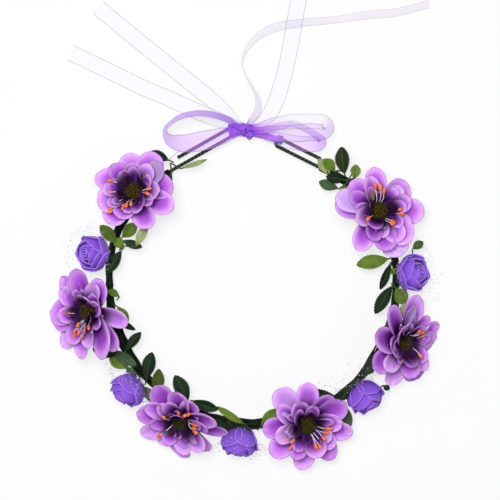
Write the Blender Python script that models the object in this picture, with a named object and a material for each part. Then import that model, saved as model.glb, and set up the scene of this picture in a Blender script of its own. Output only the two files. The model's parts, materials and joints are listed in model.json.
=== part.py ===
# Flower crown: a springy wire ring bound with green tape, open at the back, where each
# wire end is folded into an eye. It carries silk flowers, foam roses in net collars and
# leaf sprigs, and a ribbon tied in a bow joins the two eyes. The crown lies flat: +Z is
# up, +Y points from the middle of the head opening to the bow. Lengths are in metres,
# angles in degrees. The origin is under the middle of the crown's box.

import math

import bmesh
import bpy
from mathutils import Matrix, Vector

MM = 0.001

# Driving sizes
RING_RADIUS = 88.7 * MM  # middle of the wire
RING_HEIGHT = 6.0 * MM
RING_CENTRE = Vector((4.6, -54.3, 0.0)) * MM
WIRE_RADIUS = 1.1 * MM
TAPE_WALL = 0.6 * MM
GAP = 0.3 * MM  # kept between pieces that touch
HINGE_SPLIT = 1.2  # degrees of ring left open on each side of the front
LOW_EDGE = 0.25 * MM  # lowest edge of petals and nets

# Wire eyes: the leg runs from the ring's end to the eye, and the wire folds back
EYE_SPACING = 5.0 * MM  # between the middles of a leg and its return
LEFT_LEG = {"ring_end": 143.0, "start": (-51.5, -21.7), "heading": 29.6, "length": 42.5, "back": 34.0}
RIGHT_LEG = {"ring_end": 38.0, "start": (41.4, -19.3), "heading": 153.4, "length": 29.0, "back": 27.0}

# Silk flowers: azimuth of the button and how far outside the wire it is, lean of the
# flower away from the vertical, height of its lowest whorl's middle above the wire's,
# turn of its petals and reach of the outer ones
FLOWERS = (
    ("flower_back_left", 143.3, 3.6, 26.0, 4.6, 8.0, 26.0),
    ("flower_left", 190.9, 15.8, 38.0, 7, 30.0, 29.0),
    ("flower_front_left", 242.8, 10.3, 43.0, 6.6, 14.0, 27.4),
    ("flower_front_right", 290.3, 7.1, 26.0, 4.4, 22.0, 28.0),
    ("flower_right", 337.5, 13.3, 43.0, 6.6, 4.0, 28.0),
    ("flower_back_right", 28.5, 0.5, 25.0, 5.4, 18.0, 27.2),
)
BUTTON_RADIUS = 5.8 * MM
BUTTON_TOP = 11.0 * MM  # above the lowest whorl's middle
STEM_RADIUS = 0.7 * MM
PETAL_THICKNESS = 0.5 * MM
MIDDLE_REACH = 19.5 * MM
INNER_REACH = 13.0 * MM
WHORL_PITCH = 2.5 * MM  # from one whorl to the next along the stem

# Foam roses: azimuth of the head, and how far its back is outside the wire
ROSES = (
    ("rose_left", 170.4, 4.346),
    ("rose_front_left", 221.3, 7.546),
    ("rose_front", 265.4, 5.146),
    ("rose_front_right", 313.7, 4.746),
    ("rose_right", 2.5, 2.946),
)
ROSE_RADIUS = 10.2 * MM
ROSE_DEPTH = 15.0 * MM
ROSE_LEAN = 68.0
ROSE_RISE = 6.3 * MM  # from the middle of the wire to that of a head
NET_THICKNESS = 0.5 * MM
NET_FLARE = 1.6 * MM  # how much wider the net is at its mouth than at its back
ROSE_ROOM = 3.2 * MM  # petals keep this far outside a rose head

# Ribbon
RIBBON_WIDTH = 10.0 * MM
RIBBON_THICKNESS = 0.4 * MM
KNOT_CENTRE = (-4.6, 3.3, 1.2)
KNOT_SIZE = (8.2, 7.0, 5.6)
STRAP_ROOM = 0.4 * MM  # on each side of the strap in the right eye
STRAP_RISE = 1.6 * MM  # from the wire to the strap above and below it

# Each tail and loop follows points (x, y, height, bank): x and y are millimetres from the
# ring's back. A tail's height is that of its lower edge, as a share of RING_HEIGHT,
# because it comes down from the knot to the ground, and a loop's is that of its middle, in
# millimetres above the wire's. bank turns the ribbon about its own length, 0 lying flat
# and 90 standing on edge
TAIL_UPPER_LEFT = (
    (-9.6, 7.9, 0.6774, 12), (-19.2, 17.3, 0.6964, 6), (-31.9, 27.9, 0.5667, 0),
    (-47, 40.1, 0.2, 0), (-62.6, 52.7, 0, 0), (-79.5, 66.5, 0, 0), (-96.1, 80.3, 0, 0),
)
TAIL_LOWER_LEFT = (
    (-9.8, 6.7, 0.4225, 10), (-23.6, 11.3, 0.3419, 4), (-38.4, 17.5, 0.1667, 0),
    (-52, 23.7, 0, 0), (-65.7, 29.4, 0, 0), (-89.5, 40.9, 0, 0), (-113.2, 52.3, 0, 0),
)
TAIL_BACK = (
    (1.6, 8.9, 0.2334, 0), (10, 12.8, 0.1, 0), (16, 27.8, 0, 0), (22, 50.2, 0, 0),
    (28.2, 84.9, 0, 0), (36.2, 129.7, 0, 0),
)
TAIL_CURLY = (
    (-2.4, 9.5, 0.3616, 60), (3, 15.9, 0.3153, 62), (2.6, 23.7, 0.2031, 64),
    (-1.6, 31.7, 0.1149, 68), (-5.6, 39.6, 0.0501, 76), (-6.4, 46.3, 0.0446, 78),
    (-3.7, 53.6, 0.0555, 70), (3.1, 61.7, 0.1153, 62), (14.3, 67.3, 0.2449, 60),
    (31.6, 70.2, 0.2449, 60), (49, 71.9, 0.0616, 60), (70.1, 75, 0.0449, 60),
    (88, 76.5, 0.0449, 60), (109.1, 81.8, 0.0449, 60),
)
LOOP_LEFT = (
    (-10.4, 5.7, 3.6, 60), (-17.5, 10.7, 7, 58), (-31, 12.9, 9, 56), (-44, 11.1, 8.6, 52),
    (-51.6, 5.9, 6.6, 36), (-51, 0.3, 4.4, 12), (-43, -2.5, 3.6, 2), (-30, -1.9, 3.6, 0),
    (-19, -0.1, 3.7, 0), (-10.6, 1.9, 3.3, 0),
)
LOOP_RIGHT = (
    (1, 6.1, 3.8, -52), (10, 8.9, 6.6, -54), (25, 10.7, 8.4, -56), (38, 10.3, 8, -50),
    (44.6, 5.9, 6.6, -34), (42.4, -1.1, 4.6, -12), (32, -3.3, 3.8, 0), (18, -1.1, 3.8, 0),
    (8, 0.9, 3.8, 0), (1, 1.9, 3.6, 0),
)
# The strap leaves the knot, turns inside the right eye and comes back under the wire; its
# ends follow (x, y), and its turn (along the leg, across it) from the middle of the eye
STRAP_ENDS = ((0.6, 1.7), (8.0, -0.1), (8.0, -0.3), (0.6, 1.5))
STRAP_TURN = ((2.58, 0.70), (-2.07, 0.35), (-2.84, 0.17), (0.52, 0.61))

# Leaf sprigs: azimuth of the foot and how far outside the wire it is, heading of the
# spine on the crown, height of the tip, and leaves as (distance along the spine, angle
# off it, length, width)
SPRIGS = (
    ("leaves_back_right_outer", 44.0, 3.9, 104.0, 9.0,
     ((3.0, -62.0, 9.0, 5.4), (4.0, 64.0, 9.5, 5.4), (9.0, 0.0, 15.0, 7.0))),
    ("leaves_back_right_inner", 45.0, -6.1, 196.0, 2.0,
     ((1.5, 52.0, 12.0, 5.0), (4.0, -16.0, 11.0, 6.0))),
    ("leaves_right_inner", 9.0, -4.7, 196.0, 1.6,
     ((1.0, 54.0, 14.0, 5.5), (4.0, -10.0, 14.0, 7.0))),
    ("leaves_right_lower", 353.0, -5.1, 236.0, 1.6,
     ((1.5, 62.0, 9.0, 5.4), (4.0, -6.0, 15.0, 6.2))),
    ("leaves_front_right_inner", 329.0, -5.3, 214.0, 1.8,
     ((1.5, 62.0, 10.0, 5.4), (4.0, -4.0, 12.0, 6.2))),
    ("leaves_front_right", 306.0, -5.1, 171.0, 2.2,
     ((1.5, -60.0, 9.0, 4.6), (4.0, 0.0, 16.0, 5.2))),
    ("leaves_front_inner", 275.6, -5.7, 118.0, 1.8,
     ((1.5, -60.0, 7.5, 4.4), (4.0, 10.0, 9.0, 5.4))),
    ("leaves_front", 264.0, -5.5, 152.0, 1.4,
     ((1.5, -60.0, 8.0, 4.6), (4.0, 0.0, 15.0, 4.6))),
    ("leaves_front_left_inner", 243.0, -5.9, 92.0, 2.2,
     ((1.0, -74.0, 15.0, 5.4), (4.0, 14.0, 14.0, 7.0))),
    ("leaves_left_front", 226.0, -5.1, 72.0, 2.4,
     ((1.0, -66.0, 11.0, 5.6), (5.0, -4.0, 14.0, 6.6))),
    ("leaves_left_lower", 209.6, -5.3, 20.0, 2.0,
     ((2.0, 62.0, 12.0, 5.0), (2.0, -62.0, 12.0, 6.0), (6.0, 0.0, 11.0, 5.6))),
    ("leaves_left_inner", 190.0, -5.5, 322.0, 1.6,
     ((1.5, 62.0, 8.0, 4.6), (4.0, 0.0, 11.0, 5.6))),
    ("leaves_left_upper", 163.0, -5.1, 18.0, 2.4,
     ((2.0, 62.0, 9.5, 5.4), (2.0, -62.0, 9.0, 5.0), (6.0, 2.0, 12.0, 5.8))),
    ("leaves_back_left", 131.0, -7.7, 12.0, 2.0,
     ((1.5, -64.0, 11.0, 5.4), (4.0, 6.0, 13.0, 5.0))),
)
LEAF_THICKNESS = 0.4 * MM
SPINE_WIDTH = 1.2 * MM
SPRIG_ROOT_DROP = 0.7 * MM  # foot of a sprig under the tape


def clear_scene():
    for thing in list(bpy.data.objects):
        bpy.data.objects.remove(thing, do_unlink=True)


def make_material(name, colour, roughness, metallic=0.0):
    material = bpy.data.materials.new(name)
    material.use_nodes = True
    shader = material.node_tree.nodes["Principled BSDF"]
    shader.inputs["Base Color"].default_value = (*colour, 1.0)
    shader.inputs["Roughness"].default_value = roughness
    shader.inputs["Metallic"].default_value = metallic
    material.diffuse_color = (*colour, 1.0)
    return material


def make_halves():
    """One empty for each half of the ring, both standing on the front hinge axis."""
    front = RING_CENTRE + Vector((0.0, -RING_RADIUS, RING_HEIGHT))
    halves = {}
    for name in ("left_half", "right_half"):
        empty = bpy.data.objects.new(name, None)
        empty.location = front
        bpy.context.collection.objects.link(empty)
        halves[name] = empty
    return halves


def attach(thing, half, material):
    """Links an object, gives it its material and lets it move with its half."""
    thing.data.materials.append(material)
    bpy.context.collection.objects.link(thing)
    thing.parent = half
    thing.matrix_parent_inverse = Matrix.Translation(-half.location)


def add_solid(name, bm, half, material, placement=None, smooth=40.0):
    bmesh.ops.recalc_face_normals(bm, faces=bm.faces)
    mesh = bpy.data.meshes.new(name)
    bm.to_mesh(mesh)
    bm.free()
    mesh.shade_smooth()
    mesh.set_sharp_from_angle(angle=math.radians(smooth))
    thing = bpy.data.objects.new(name, mesh)
    if placement is not None:
        thing.matrix_basis = placement
    attach(thing, half, material)
    return thing


def polar(azimuth, radius, height=0.0):
    """Point on the crown from its azimuth, radius and height, in metres."""
    angle = math.radians(azimuth)
    return RING_CENTRE + Vector((radius * math.cos(angle), radius * math.sin(angle), height))


def at_back(x, y, z=0.0):
    """Point given in millimetres from the middle of the wire at the ring's back."""
    return RING_CENTRE + Vector((0.0, RING_RADIUS, RING_HEIGHT)) + Vector((x, y, z)) * MM


def side_of(azimuth):
    """The half of the ring that an azimuth falls on."""
    return "left_half" if 90.0 < azimuth % 360.0 < 270.0 else "right_half"


def smooth_route(points, step):
    """Catmull-Rom curve through tuples of equal length, at about the given spacing."""
    rows = [Vector(p) for p in points]
    rows = [2 * rows[0] - rows[1]] + rows + [2 * rows[-1] - rows[-2]]
    route = []
    for before, start, end, after in zip(rows, rows[1:], rows[2:], rows[3:]):
        span = (end.xyz - start.xyz).length
        pieces = max(1, round(span / step))
        for i in range(pieces):
            t = i / pieces
            route.append(0.5 * (
                2 * start
                + (end - before) * t
                + (2 * before - 5 * start + 4 * end - after) * t * t
                + (3 * start - before - 3 * end + after) * t * t * t
            ))
    route.append(rows[-2])
    return route


def route_frames(points, banks):
    """Tangent, side and up vectors along a route; side is level where the bank is 0."""
    frames = []
    for i, here in enumerate(points):
        ahead = points[min(i + 1, len(points) - 1)]
        behind = points[max(i - 1, 0)]
        tangent = (ahead - behind).normalized()
        level = tangent.cross(Vector((0, 0, 1)))
        if level.length < 0.2 and frames:
            level = frames[-1][1]
            level = level - tangent * level.dot(tangent)
        level.normalize()
        if frames and banks is None and level.dot(frames[-1][1]) < 0:
            level = -level
        side = Matrix.Rotation(math.radians(banks[i]) if banks else 0.0, 3, tangent) @ level
        frames.append((tangent, side, side.cross(tangent)))
    return frames


def sweep(points, loops, banks=None):
    """Closed solid swept along a route; a second loop is the bore of a sleeve."""
    bm = bmesh.new()
    frames = route_frames(points, banks)
    rings = []
    for here, (tangent, side, up) in zip(points, frames):
        rings.append([[bm.verts.new(here + side * u + up * v) for u, v in loop] for loop in loops])
    for first, second in zip(rings, rings[1:]):
        for loop_a, loop_b in zip(first, second):
            count = len(loop_a)
            for i in range(count):
                k = (i + 1) % count
                bm.faces.new((loop_a[i], loop_a[k], loop_b[k], loop_b[i]))
    for end in (rings[0], rings[-1]):
        if len(end) == 1:
            bm.faces.new(end[0])
            continue
        outer, inner = end
        for i in range(len(outer)):
            k = (i + 1) % len(outer)
            bm.faces.new((outer[i], outer[k], inner[k], inner[i]))
    return bm


def circle_loop(radius, sides):
    turn = 2 * math.pi / sides
    return [(radius * math.cos(i * turn), radius * math.sin(i * turn)) for i in range(sides)]


def lathe(profile, sides):
    """Solid turned about Z from (radius, height) pairs that start and end on the axis."""
    bm = bmesh.new()
    verts = [bm.verts.new((r, 0.0, z)) for r, z in profile]
    edges = [bm.edges.new(pair) for pair in zip(verts, verts[1:])]
    bmesh.ops.spin(bm, geom=verts + edges, cent=(0, 0, 0), axis=(0, 0, 1),
                   angle=2 * math.pi, steps=sides, use_duplicate=False)
    bmesh.ops.remove_doubles(bm, verts=bm.verts, dist=0.001 * MM)
    return bm


def wire_route(leg, mirror):
    """Middle of the wire from the front, round the ring, along the leg and back."""
    start_azimuth = 270.0 - mirror * HINGE_SPLIT
    end_azimuth = leg["ring_end"] if mirror > 0 else leg["ring_end"] + 360.0
    steps = 24
    arc = []
    for i in range(steps + 1):
        azimuth = start_azimuth + (end_azimuth - start_azimuth) * i / steps
        arc.append(polar(azimuth, RING_RADIUS, RING_HEIGHT))
    heading = math.radians(leg["heading"])
    along = Vector((math.cos(heading), math.sin(heading), 0.0))
    across = Vector((-along.y, along.x, 0.0)) * mirror
    foot = at_back(*leg["start"])
    turn_centre = foot + along * leg["length"] * MM + across * EYE_SPACING / 2
    eye = []
    for i in range(1, 8):
        angle = math.pi * (i - 1) / 6 - math.pi / 2
        eye.append(turn_centre + (across * math.sin(angle) + along * math.cos(angle)) * EYE_SPACING / 2)
    end = eye[-1] - along * leg["back"] * MM
    return arc, foot, eye, end


def strap_route():
    """Middle of the strap, from the knot through the right eye and back."""
    arc, foot, eye, end = wire_route(RIGHT_LEG, -1)
    middle = (eye[0] + eye[-1]) / 2
    across = (eye[-1] - eye[0]).normalized()
    along = (eye[0] - foot).normalized()
    turn = [middle + (along * a + across * b) * MM for a, b in STRAP_TURN]
    out, ahead, below, back = [at_back(*end) for end in STRAP_ENDS]
    rise = WIRE_RADIUS + STRAP_RISE
    route = (out, 0.9 * MM), (ahead, rise - 0.1 * MM), (turn[0], rise), (turn[1], 1.4 * MM), (
        turn[2], -1.1 * MM), (turn[3], -rise), (below, 0.5 * MM - rise), (back, -0.4 * MM)
    return [(*(place + Vector((0, 0, height))), 0) for place, height in route]


def add_ring(halves, materials):
    """Two wires with folded eyes, and the tape sleeve bound round each."""
    for name, leg, mirror in (("left", LEFT_LEG, 1), ("right", RIGHT_LEG, -1)):
        half = halves[name + "_half"]
        arc, foot, eye, end = wire_route(leg, mirror)
        bound = smooth_route(arc + [foot], 9 * MM)
        middle = (foot + eye[0]) / 2
        path = bound[:-1] + smooth_route([foot, middle, eye[0]], 20 * MM)[:-1] + eye + [end]
        add_wire("frame_wire_" + name, path, half, materials["wire"])
        loops = [circle_loop(WIRE_RADIUS + GAP + TAPE_WALL, 8), circle_loop(WIRE_RADIUS + GAP, 8)]
        add_solid("binding_tape_" + name, sweep(bound, loops), half, materials["tape"])


def add_wire(name, path, half, material):
    curve = bpy.data.curves.new(name, "CURVE")
    curve.dimensions = "3D"
    curve.bevel_depth = WIRE_RADIUS
    curve.bevel_resolution = 1
    curve.use_fill_caps = True
    spline = curve.splines.new("POLY")
    spline.points.add(len(path) - 1)
    for point, place in zip(spline.points, path):
        point.co = (*place, 1.0)
    attach(bpy.data.objects.new(name, curve), half, material)


def tilted(place, azimuth, lean, turn=0.0):
    """Frame whose Z leans outward from the vertical along an azimuth."""
    return (
        Matrix.Translation(place)
        @ Matrix.Rotation(math.radians(azimuth), 4, "Z")
        @ Matrix.Rotation(math.radians(lean), 4, "Y")
        @ Matrix.Rotation(math.radians(turn), 4, "Z")
    )


def ring_clearance(point):
    """Distance from a point to the middle of the ring's wire."""
    flat = (point - RING_CENTRE).to_2d().length
    return math.hypot(flat - RING_RADIUS, point.z - RING_HEIGHT)


def stem_depth(placement, start, limit):
    """How far a stem runs back along its axis before it meets the tape or passes it."""
    keep = WIRE_RADIUS + GAP + TAPE_WALL + GAP + 1.6 * STEM_RADIUS
    step = 0.2 * MM
    depth = start
    room = ring_clearance(placement @ Vector((0, 0, -depth)))
    while depth < limit:
        ahead = ring_clearance(placement @ Vector((0, 0, -depth - step)))
        if ahead < keep or ahead > room:
            break
        depth += step
        room = ahead
    return depth


def room_for(point, rose_heads):
    """Whether a point is above the lowest edge and outside every rose head."""
    if point.z < LOW_EDGE:
        return False
    return all((point - head).length > ROSE_RADIUS + ROSE_ROOM for head in rose_heads)


def lobed_cup(placement, profile, petals, notch, hole, thickness, rings, per_petal, rose_heads=()):
    """Thin lobed cup round Z. The profile gives (radius, height) for 0 to 1 along a
    petal; a petal is shortened where it would meet the ground or a rose."""
    bm = bmesh.new()
    stations = petals * per_petal
    sheets = ([], [])
    for j in range(stations):
        angle = 2 * math.pi * j / stations
        lobe = 1.0 - notch * abs(math.sin(angle * petals / 2)) ** 3
        out = Vector((math.cos(angle), math.sin(angle), 0.0))
        reach = lobe
        while reach > 0.3:
            places = []
            for share in (0.6, 0.8, 1.0):
                radius, height = profile(reach * share)
                corner = out * (radius + thickness) + Vector((0, 0, height - thickness))
                places.append(placement @ corner)
            if all(room_for(place, rose_heads) for place in places):
                break
            reach -= 0.02
        top = []
        under = []
        for i in range(rings + 1):
            along = reach * i / rings
            radius, height = profile(along)
            ahead = profile(along + 0.01)
            behind = profile(max(along - 0.01, 0.0))
            slope = Vector((ahead[0] - behind[0], ahead[1] - behind[1])).normalized()
            radius = max(radius, hole)
            top.append(bm.verts.new(out * radius + Vector((0, 0, height))))
            low = out * max(radius + slope.y * thickness, hole)
            under.append(bm.verts.new(low + Vector((0, 0, height - slope.x * thickness))))
        sheets[0].append(top)
        sheets[1].append(under)
    for j in range(stations):
        k = (j + 1) % stations
        for sheet in sheets:
            for i in range(rings):
                bm.faces.new((sheet[j][i], sheet[j][i + 1], sheet[k][i + 1], sheet[k][i]))
        for i in (0, rings):
            bm.faces.new((sheets[0][j][i], sheets[1][j][i], sheets[1][k][i], sheets[0][k][i]))
    return bm


def add_flower(name, azimuth, outside, lean, seat, turn, reach, half, materials):
    """Three whorls of petals threaded on the stem of a domed button."""
    button = polar(azimuth, RING_RADIUS + outside * MM)
    base = button - (tilted(Vector(), azimuth, lean) @ Vector((0, 0, BUTTON_TOP))).to_2d().to_3d()
    base.z = RING_HEIGHT + seat * MM
    placement = tilted(base, azimuth, lean, turn)
    hole = STEM_RADIUS + GAP
    rose_heads = [rose_place(azimuth, clear) for _, azimuth, clear in ROSES]
    whorls = (
        ("outer_petals", reach * MM, 3.4 * MM, 5, 0.20, 6, 3, 0.0, 2.0),
        ("middle_petals", MIDDLE_REACH, 5.6 * MM, 5, 0.22, 5, 2, 36.0, 2.0),
        ("inner_petals", INNER_REACH, 5.2 * MM, 5, 0.24, 4, 2, 12.0, 3.0),
    )
    for level, (part, reach, rise, petals, notch, per_petal, rings, twist, power) in enumerate(whorls):
        lift = Matrix.Translation((0, 0, level * WHORL_PITCH))
        own = placement @ lift @ Matrix.Rotation(math.radians(twist), 4, "Z")

        def profile(t, reach=reach, rise=rise, power=power):
            return reach * t, rise * t ** power

        bm = lobed_cup(own, profile, petals, notch, hole, PETAL_THICKNESS, rings, per_petal, rose_heads)
        add_solid(name + "_" + part, bm, half, materials[part], own)
    depth = stem_depth(placement, 1.0 * MM, 16 * MM)
    seat_height = 2 * WHORL_PITCH + 1.6 * MM
    dome = []
    for i in range(5):
        angle = math.radians(90.0 * i / 4)
        rise = (BUTTON_TOP - seat_height) * math.sin(angle)
        dome.append((BUTTON_RADIUS * math.cos(angle), seat_height + rise))
    dome[-1] = (0.0, BUTTON_TOP)
    profile = [(0.0, -depth), (STEM_RADIUS, -depth), (STEM_RADIUS, seat_height)] + dome
    add_solid(name + "_button", lathe(profile, 10), half, materials["button"], placement)


def rose_place(azimuth, clear):
    """Middle of a rose head."""
    behind = ROSE_DEPTH / 2 * math.sin(math.radians(ROSE_LEAN))
    return polar(azimuth, RING_RADIUS + behind + clear * MM, RING_HEIGHT + ROSE_RISE)


def add_rose(name, azimuth, clear, half, materials):
    """Foam rose on a wire stem, with a cup of net gathered behind it."""
    placement = tilted(rose_place(azimuth, clear), azimuth, ROSE_LEAN)
    back = -ROSE_DEPTH / 2
    depth = stem_depth(placement, -back, 16 * MM)
    profile = [
        (0.0, -depth), (STEM_RADIUS, -depth), (STEM_RADIUS, back), (0.5 * ROSE_RADIUS, back + 1.2 * MM),
        (0.86 * ROSE_RADIUS, back + 4.2 * MM), (ROSE_RADIUS, -0.5 * MM), (0.94 * ROSE_RADIUS, 4.6 * MM),
        (0.74 * ROSE_RADIUS, 6.6 * MM), (0.66 * ROSE_RADIUS, 5.6 * MM), (0.44 * ROSE_RADIUS, 7.5 * MM),
        (0.3 * ROSE_RADIUS, 6.2 * MM), (0.0, -back),
    ]
    add_solid(name + "_head", lathe(profile, 12), half, materials["rose"], placement)

    wide = ROSE_RADIUS + GAP + 0.3 * MM
    start = back - 1.4 * MM

    def net_profile(t):
        if t < 0.5:
            share = t / 0.5
            return wide * share, start + 4.0 * MM * share ** 3
        share = (t - 0.5) / 0.5
        return wide + NET_FLARE * share, start + 4.0 * MM + 8.0 * MM * share

    hole = STEM_RADIUS + GAP
    bm = lobed_cup(placement, net_profile, 6, 0.10, hole, NET_THICKNESS, 4, 3)
    add_solid(name + "_net", bm, half, materials["net"], placement)


def leaf_edge(length, width):
    """Half outline of a leaf: (distance, half width) at its widest and towards its tip."""
    return [(0.45 * length, 0.5 * width), (0.75 * length, 0.36 * width)]


def sprig_outline(leaves):
    """Outline of a spine with its leaves, in millimetres, the spine along +X."""
    def leaf_points(leaf, sign):
        foot, angle, length, width = leaf
        turn = math.radians(angle)
        half_spine = SPINE_WIDTH / MM / 2
        lower = leaf_edge(length, width)
        points = [(foot - half_spine, sign * half_spine)]
        for d, w in lower:
            points.append((foot + d * math.cos(turn) - sign * w * math.sin(turn),
                           d * math.sin(turn) + sign * w * math.cos(turn)))
        points.append((foot + length * math.cos(turn), length * math.sin(turn)))
        for d, w in reversed(lower):
            points.append((foot + d * math.cos(turn) + sign * w * math.sin(turn),
                           d * math.sin(turn) - sign * w * math.cos(turn)))
        points.append((foot + half_spine + 0.6, sign * half_spine))
        return points

    crown_leaf = max(leaves, key=lambda leaf: leaf[0])
    right = sorted((leaf for leaf in leaves if leaf is not crown_leaf and leaf[1] < 0))
    left = sorted((leaf for leaf in leaves if leaf is not crown_leaf and leaf[1] > 0), reverse=True)
    half_spine = SPINE_WIDTH / MM / 2
    outline = [(-half_spine, -half_spine)]
    for leaf in right:
        outline += leaf_points(leaf, -1)
    foot, angle, length, width = crown_leaf
    turn = math.radians(angle)
    edge = leaf_edge(length, width)
    for sign, run in ((-1, edge), (1, edge[::-1])):
        if sign > 0:
            outline.append((foot + length * math.cos(turn), length * math.sin(turn)))
        for d, w in run:
            outline.append((foot + d * math.cos(turn) - sign * w * math.sin(turn),
                            d * math.sin(turn) + sign * w * math.cos(turn)))
    for leaf in left:
        outline += reversed(leaf_points(leaf, 1))
    outline.append((-half_spine, half_spine))
    return outline


def add_sprig(name, azimuth, outside, heading, tip_height, leaves, half, material):
    """Flat sprig whose foot is tucked under the tape and whose tip settles at a height."""
    foot = polar(azimuth, RING_RADIUS + outside * MM)
    foot.z = RING_HEIGHT - WIRE_RADIUS - GAP - TAPE_WALL - GAP - SPRIG_ROOT_DROP
    outline = sprig_outline(leaves)
    span = max(math.hypot(x, y) for x, y in outline) * MM
    bm = bmesh.new()
    face = bm.faces.new([bm.verts.new((x * MM, y * MM, 0.0)) for x, y in outline])
    made = bmesh.ops.extrude_face_region(bm, geom=[face])["geom"]
    bmesh.ops.translate(bm, vec=(0, 0, LEAF_THICKNESS), verts=[v for v in made if isinstance(v, bmesh.types.BMVert)])
    droop = math.asin((foot.z - tip_height * MM) / span)
    placement = (
        Matrix.Translation(foot)
        @ Matrix.Rotation(math.radians(heading), 4, "Z")
        @ Matrix.Rotation(droop, 4, "Y")
    )
    add_solid(name, bm, half, material, placement)


def half_height(bank):
    """Half the height of a ribbon's section at its bank."""
    lean = math.radians(abs(bank))
    return RIBBON_WIDTH / 2 * math.sin(lean) + RIBBON_THICKNESS / 2 * math.cos(lean)


def tail_route(points):
    """Points of a tail, whose lower edge's heights are shares of the ring's."""
    route = []
    for x, y, share, bank in points:
        place = at_back(x, y)
        place.z = share * RING_HEIGHT + half_height(bank)
        route.append((*place, bank))
    return route


def loop_route(points):
    """Points of a loop, whose heights are above the wire's middle."""
    return [(*at_back(x, y, z), bank) for x, y, z, bank in points]


def add_strip(name, points, half, material, width=RIBBON_WIDTH, step=6 * MM):
    """Ribbon along (x, y, z, bank) points."""
    rows = smooth_route(points, step)
    w = width / 2
    t = RIBBON_THICKNESS / 2
    for row in rows:
        lean = math.radians(abs(row[3]))
        row.z = max(row.z, w * math.sin(lean) + t * math.cos(lean))
    route = [row.xyz for row in rows]
    section = [[(-w, -t), (w, -t), (w, t), (-w, t)]]
    add_solid(name, sweep(route, section, [row[3] for row in rows]), half, material, smooth=60.0)


def add_knot(half, material):
    """Pinched barrel of folded ribbon."""
    bm = bmesh.new()
    bmesh.ops.create_uvsphere(bm, u_segments=10, v_segments=6, radius=0.5)
    size = Vector(KNOT_SIZE) * MM
    for vert in bm.verts:
        vert.co = Vector((vert.co.x * size.x, vert.co.y * size.y, vert.co.z * size.z))
    add_solid("bow_knot", bm, half, material, Matrix.Translation(at_back(*KNOT_CENTRE)))


def build():
    clear_scene()
    materials = {
        "wire": make_material("cloth_covered_wire", (0.016, 0.024, 0.014), 0.85),
        "tape": make_material("green_floral_tape", (0.012, 0.034, 0.014), 0.6),
        "outer_petals": make_material("outer_petal_silk", (0.62, 0.34, 0.80), 0.7),
        "middle_petals": make_material("middle_petal_silk", (0.48, 0.20, 0.68), 0.7),
        "inner_petals": make_material("inner_petal_silk", (0.36, 0.12, 0.52), 0.7),
        "button": make_material("flocked_button", (0.03, 0.022, 0.004), 0.95),
        "rose": make_material("foam_rose", (0.24, 0.10, 0.56), 0.8),
        "net": make_material("dotted_net", (0.86, 0.84, 0.90), 0.6),
        "leaf": make_material("leaf_silk", (0.03, 0.08, 0.03), 0.55),
        "ribbon": make_material("organza_ribbon", (0.60, 0.42, 0.85), 0.4),
    }
    halves = make_halves()
    add_ring(halves, materials)
    for name, azimuth, *sizes in FLOWERS:
        add_flower(name, azimuth, *sizes, halves[side_of(azimuth)], materials)
    for name, azimuth, clear in ROSES:
        add_rose(name, azimuth, clear, halves[side_of(azimuth)], materials)
    for name, azimuth, outside, heading, tip_height, leaves in SPRIGS:
        half = halves[side_of(azimuth)]
        add_sprig(name, azimuth, outside, heading, tip_height, leaves, half, materials["leaf"])
    left = halves["left_half"]
    add_knot(left, materials["ribbon"])
    add_strip("bow_loop_left", loop_route(LOOP_LEFT), left, materials["ribbon"])
    add_strip("bow_loop_right", loop_route(LOOP_RIGHT), left, materials["ribbon"])
    add_strip("ribbon_tail_upper_left", tail_route(TAIL_UPPER_LEFT), left, materials["ribbon"], step=12 * MM)
    add_strip("ribbon_tail_lower_left", tail_route(TAIL_LOWER_LEFT), left, materials["ribbon"], step=12 * MM)
    add_strip("ribbon_tail_back", tail_route(TAIL_BACK), left, materials["ribbon"], step=12 * MM)
    add_strip("ribbon_tail_curly", tail_route(TAIL_CURLY), left, materials["ribbon"])
    strap_width = EYE_SPACING - 2 * WIRE_RADIUS - 2 * STRAP_ROOM
    add_strip("ribbon_strap", strap_route(), left, materials["ribbon"], strap_width, 3 * MM)


build()
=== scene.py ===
import json
import random
from math import acos, cos, dist, exp, hypot, pi, radians, sin, sqrt

import bpy
from mathutils import Matrix, Vector, noise


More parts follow.
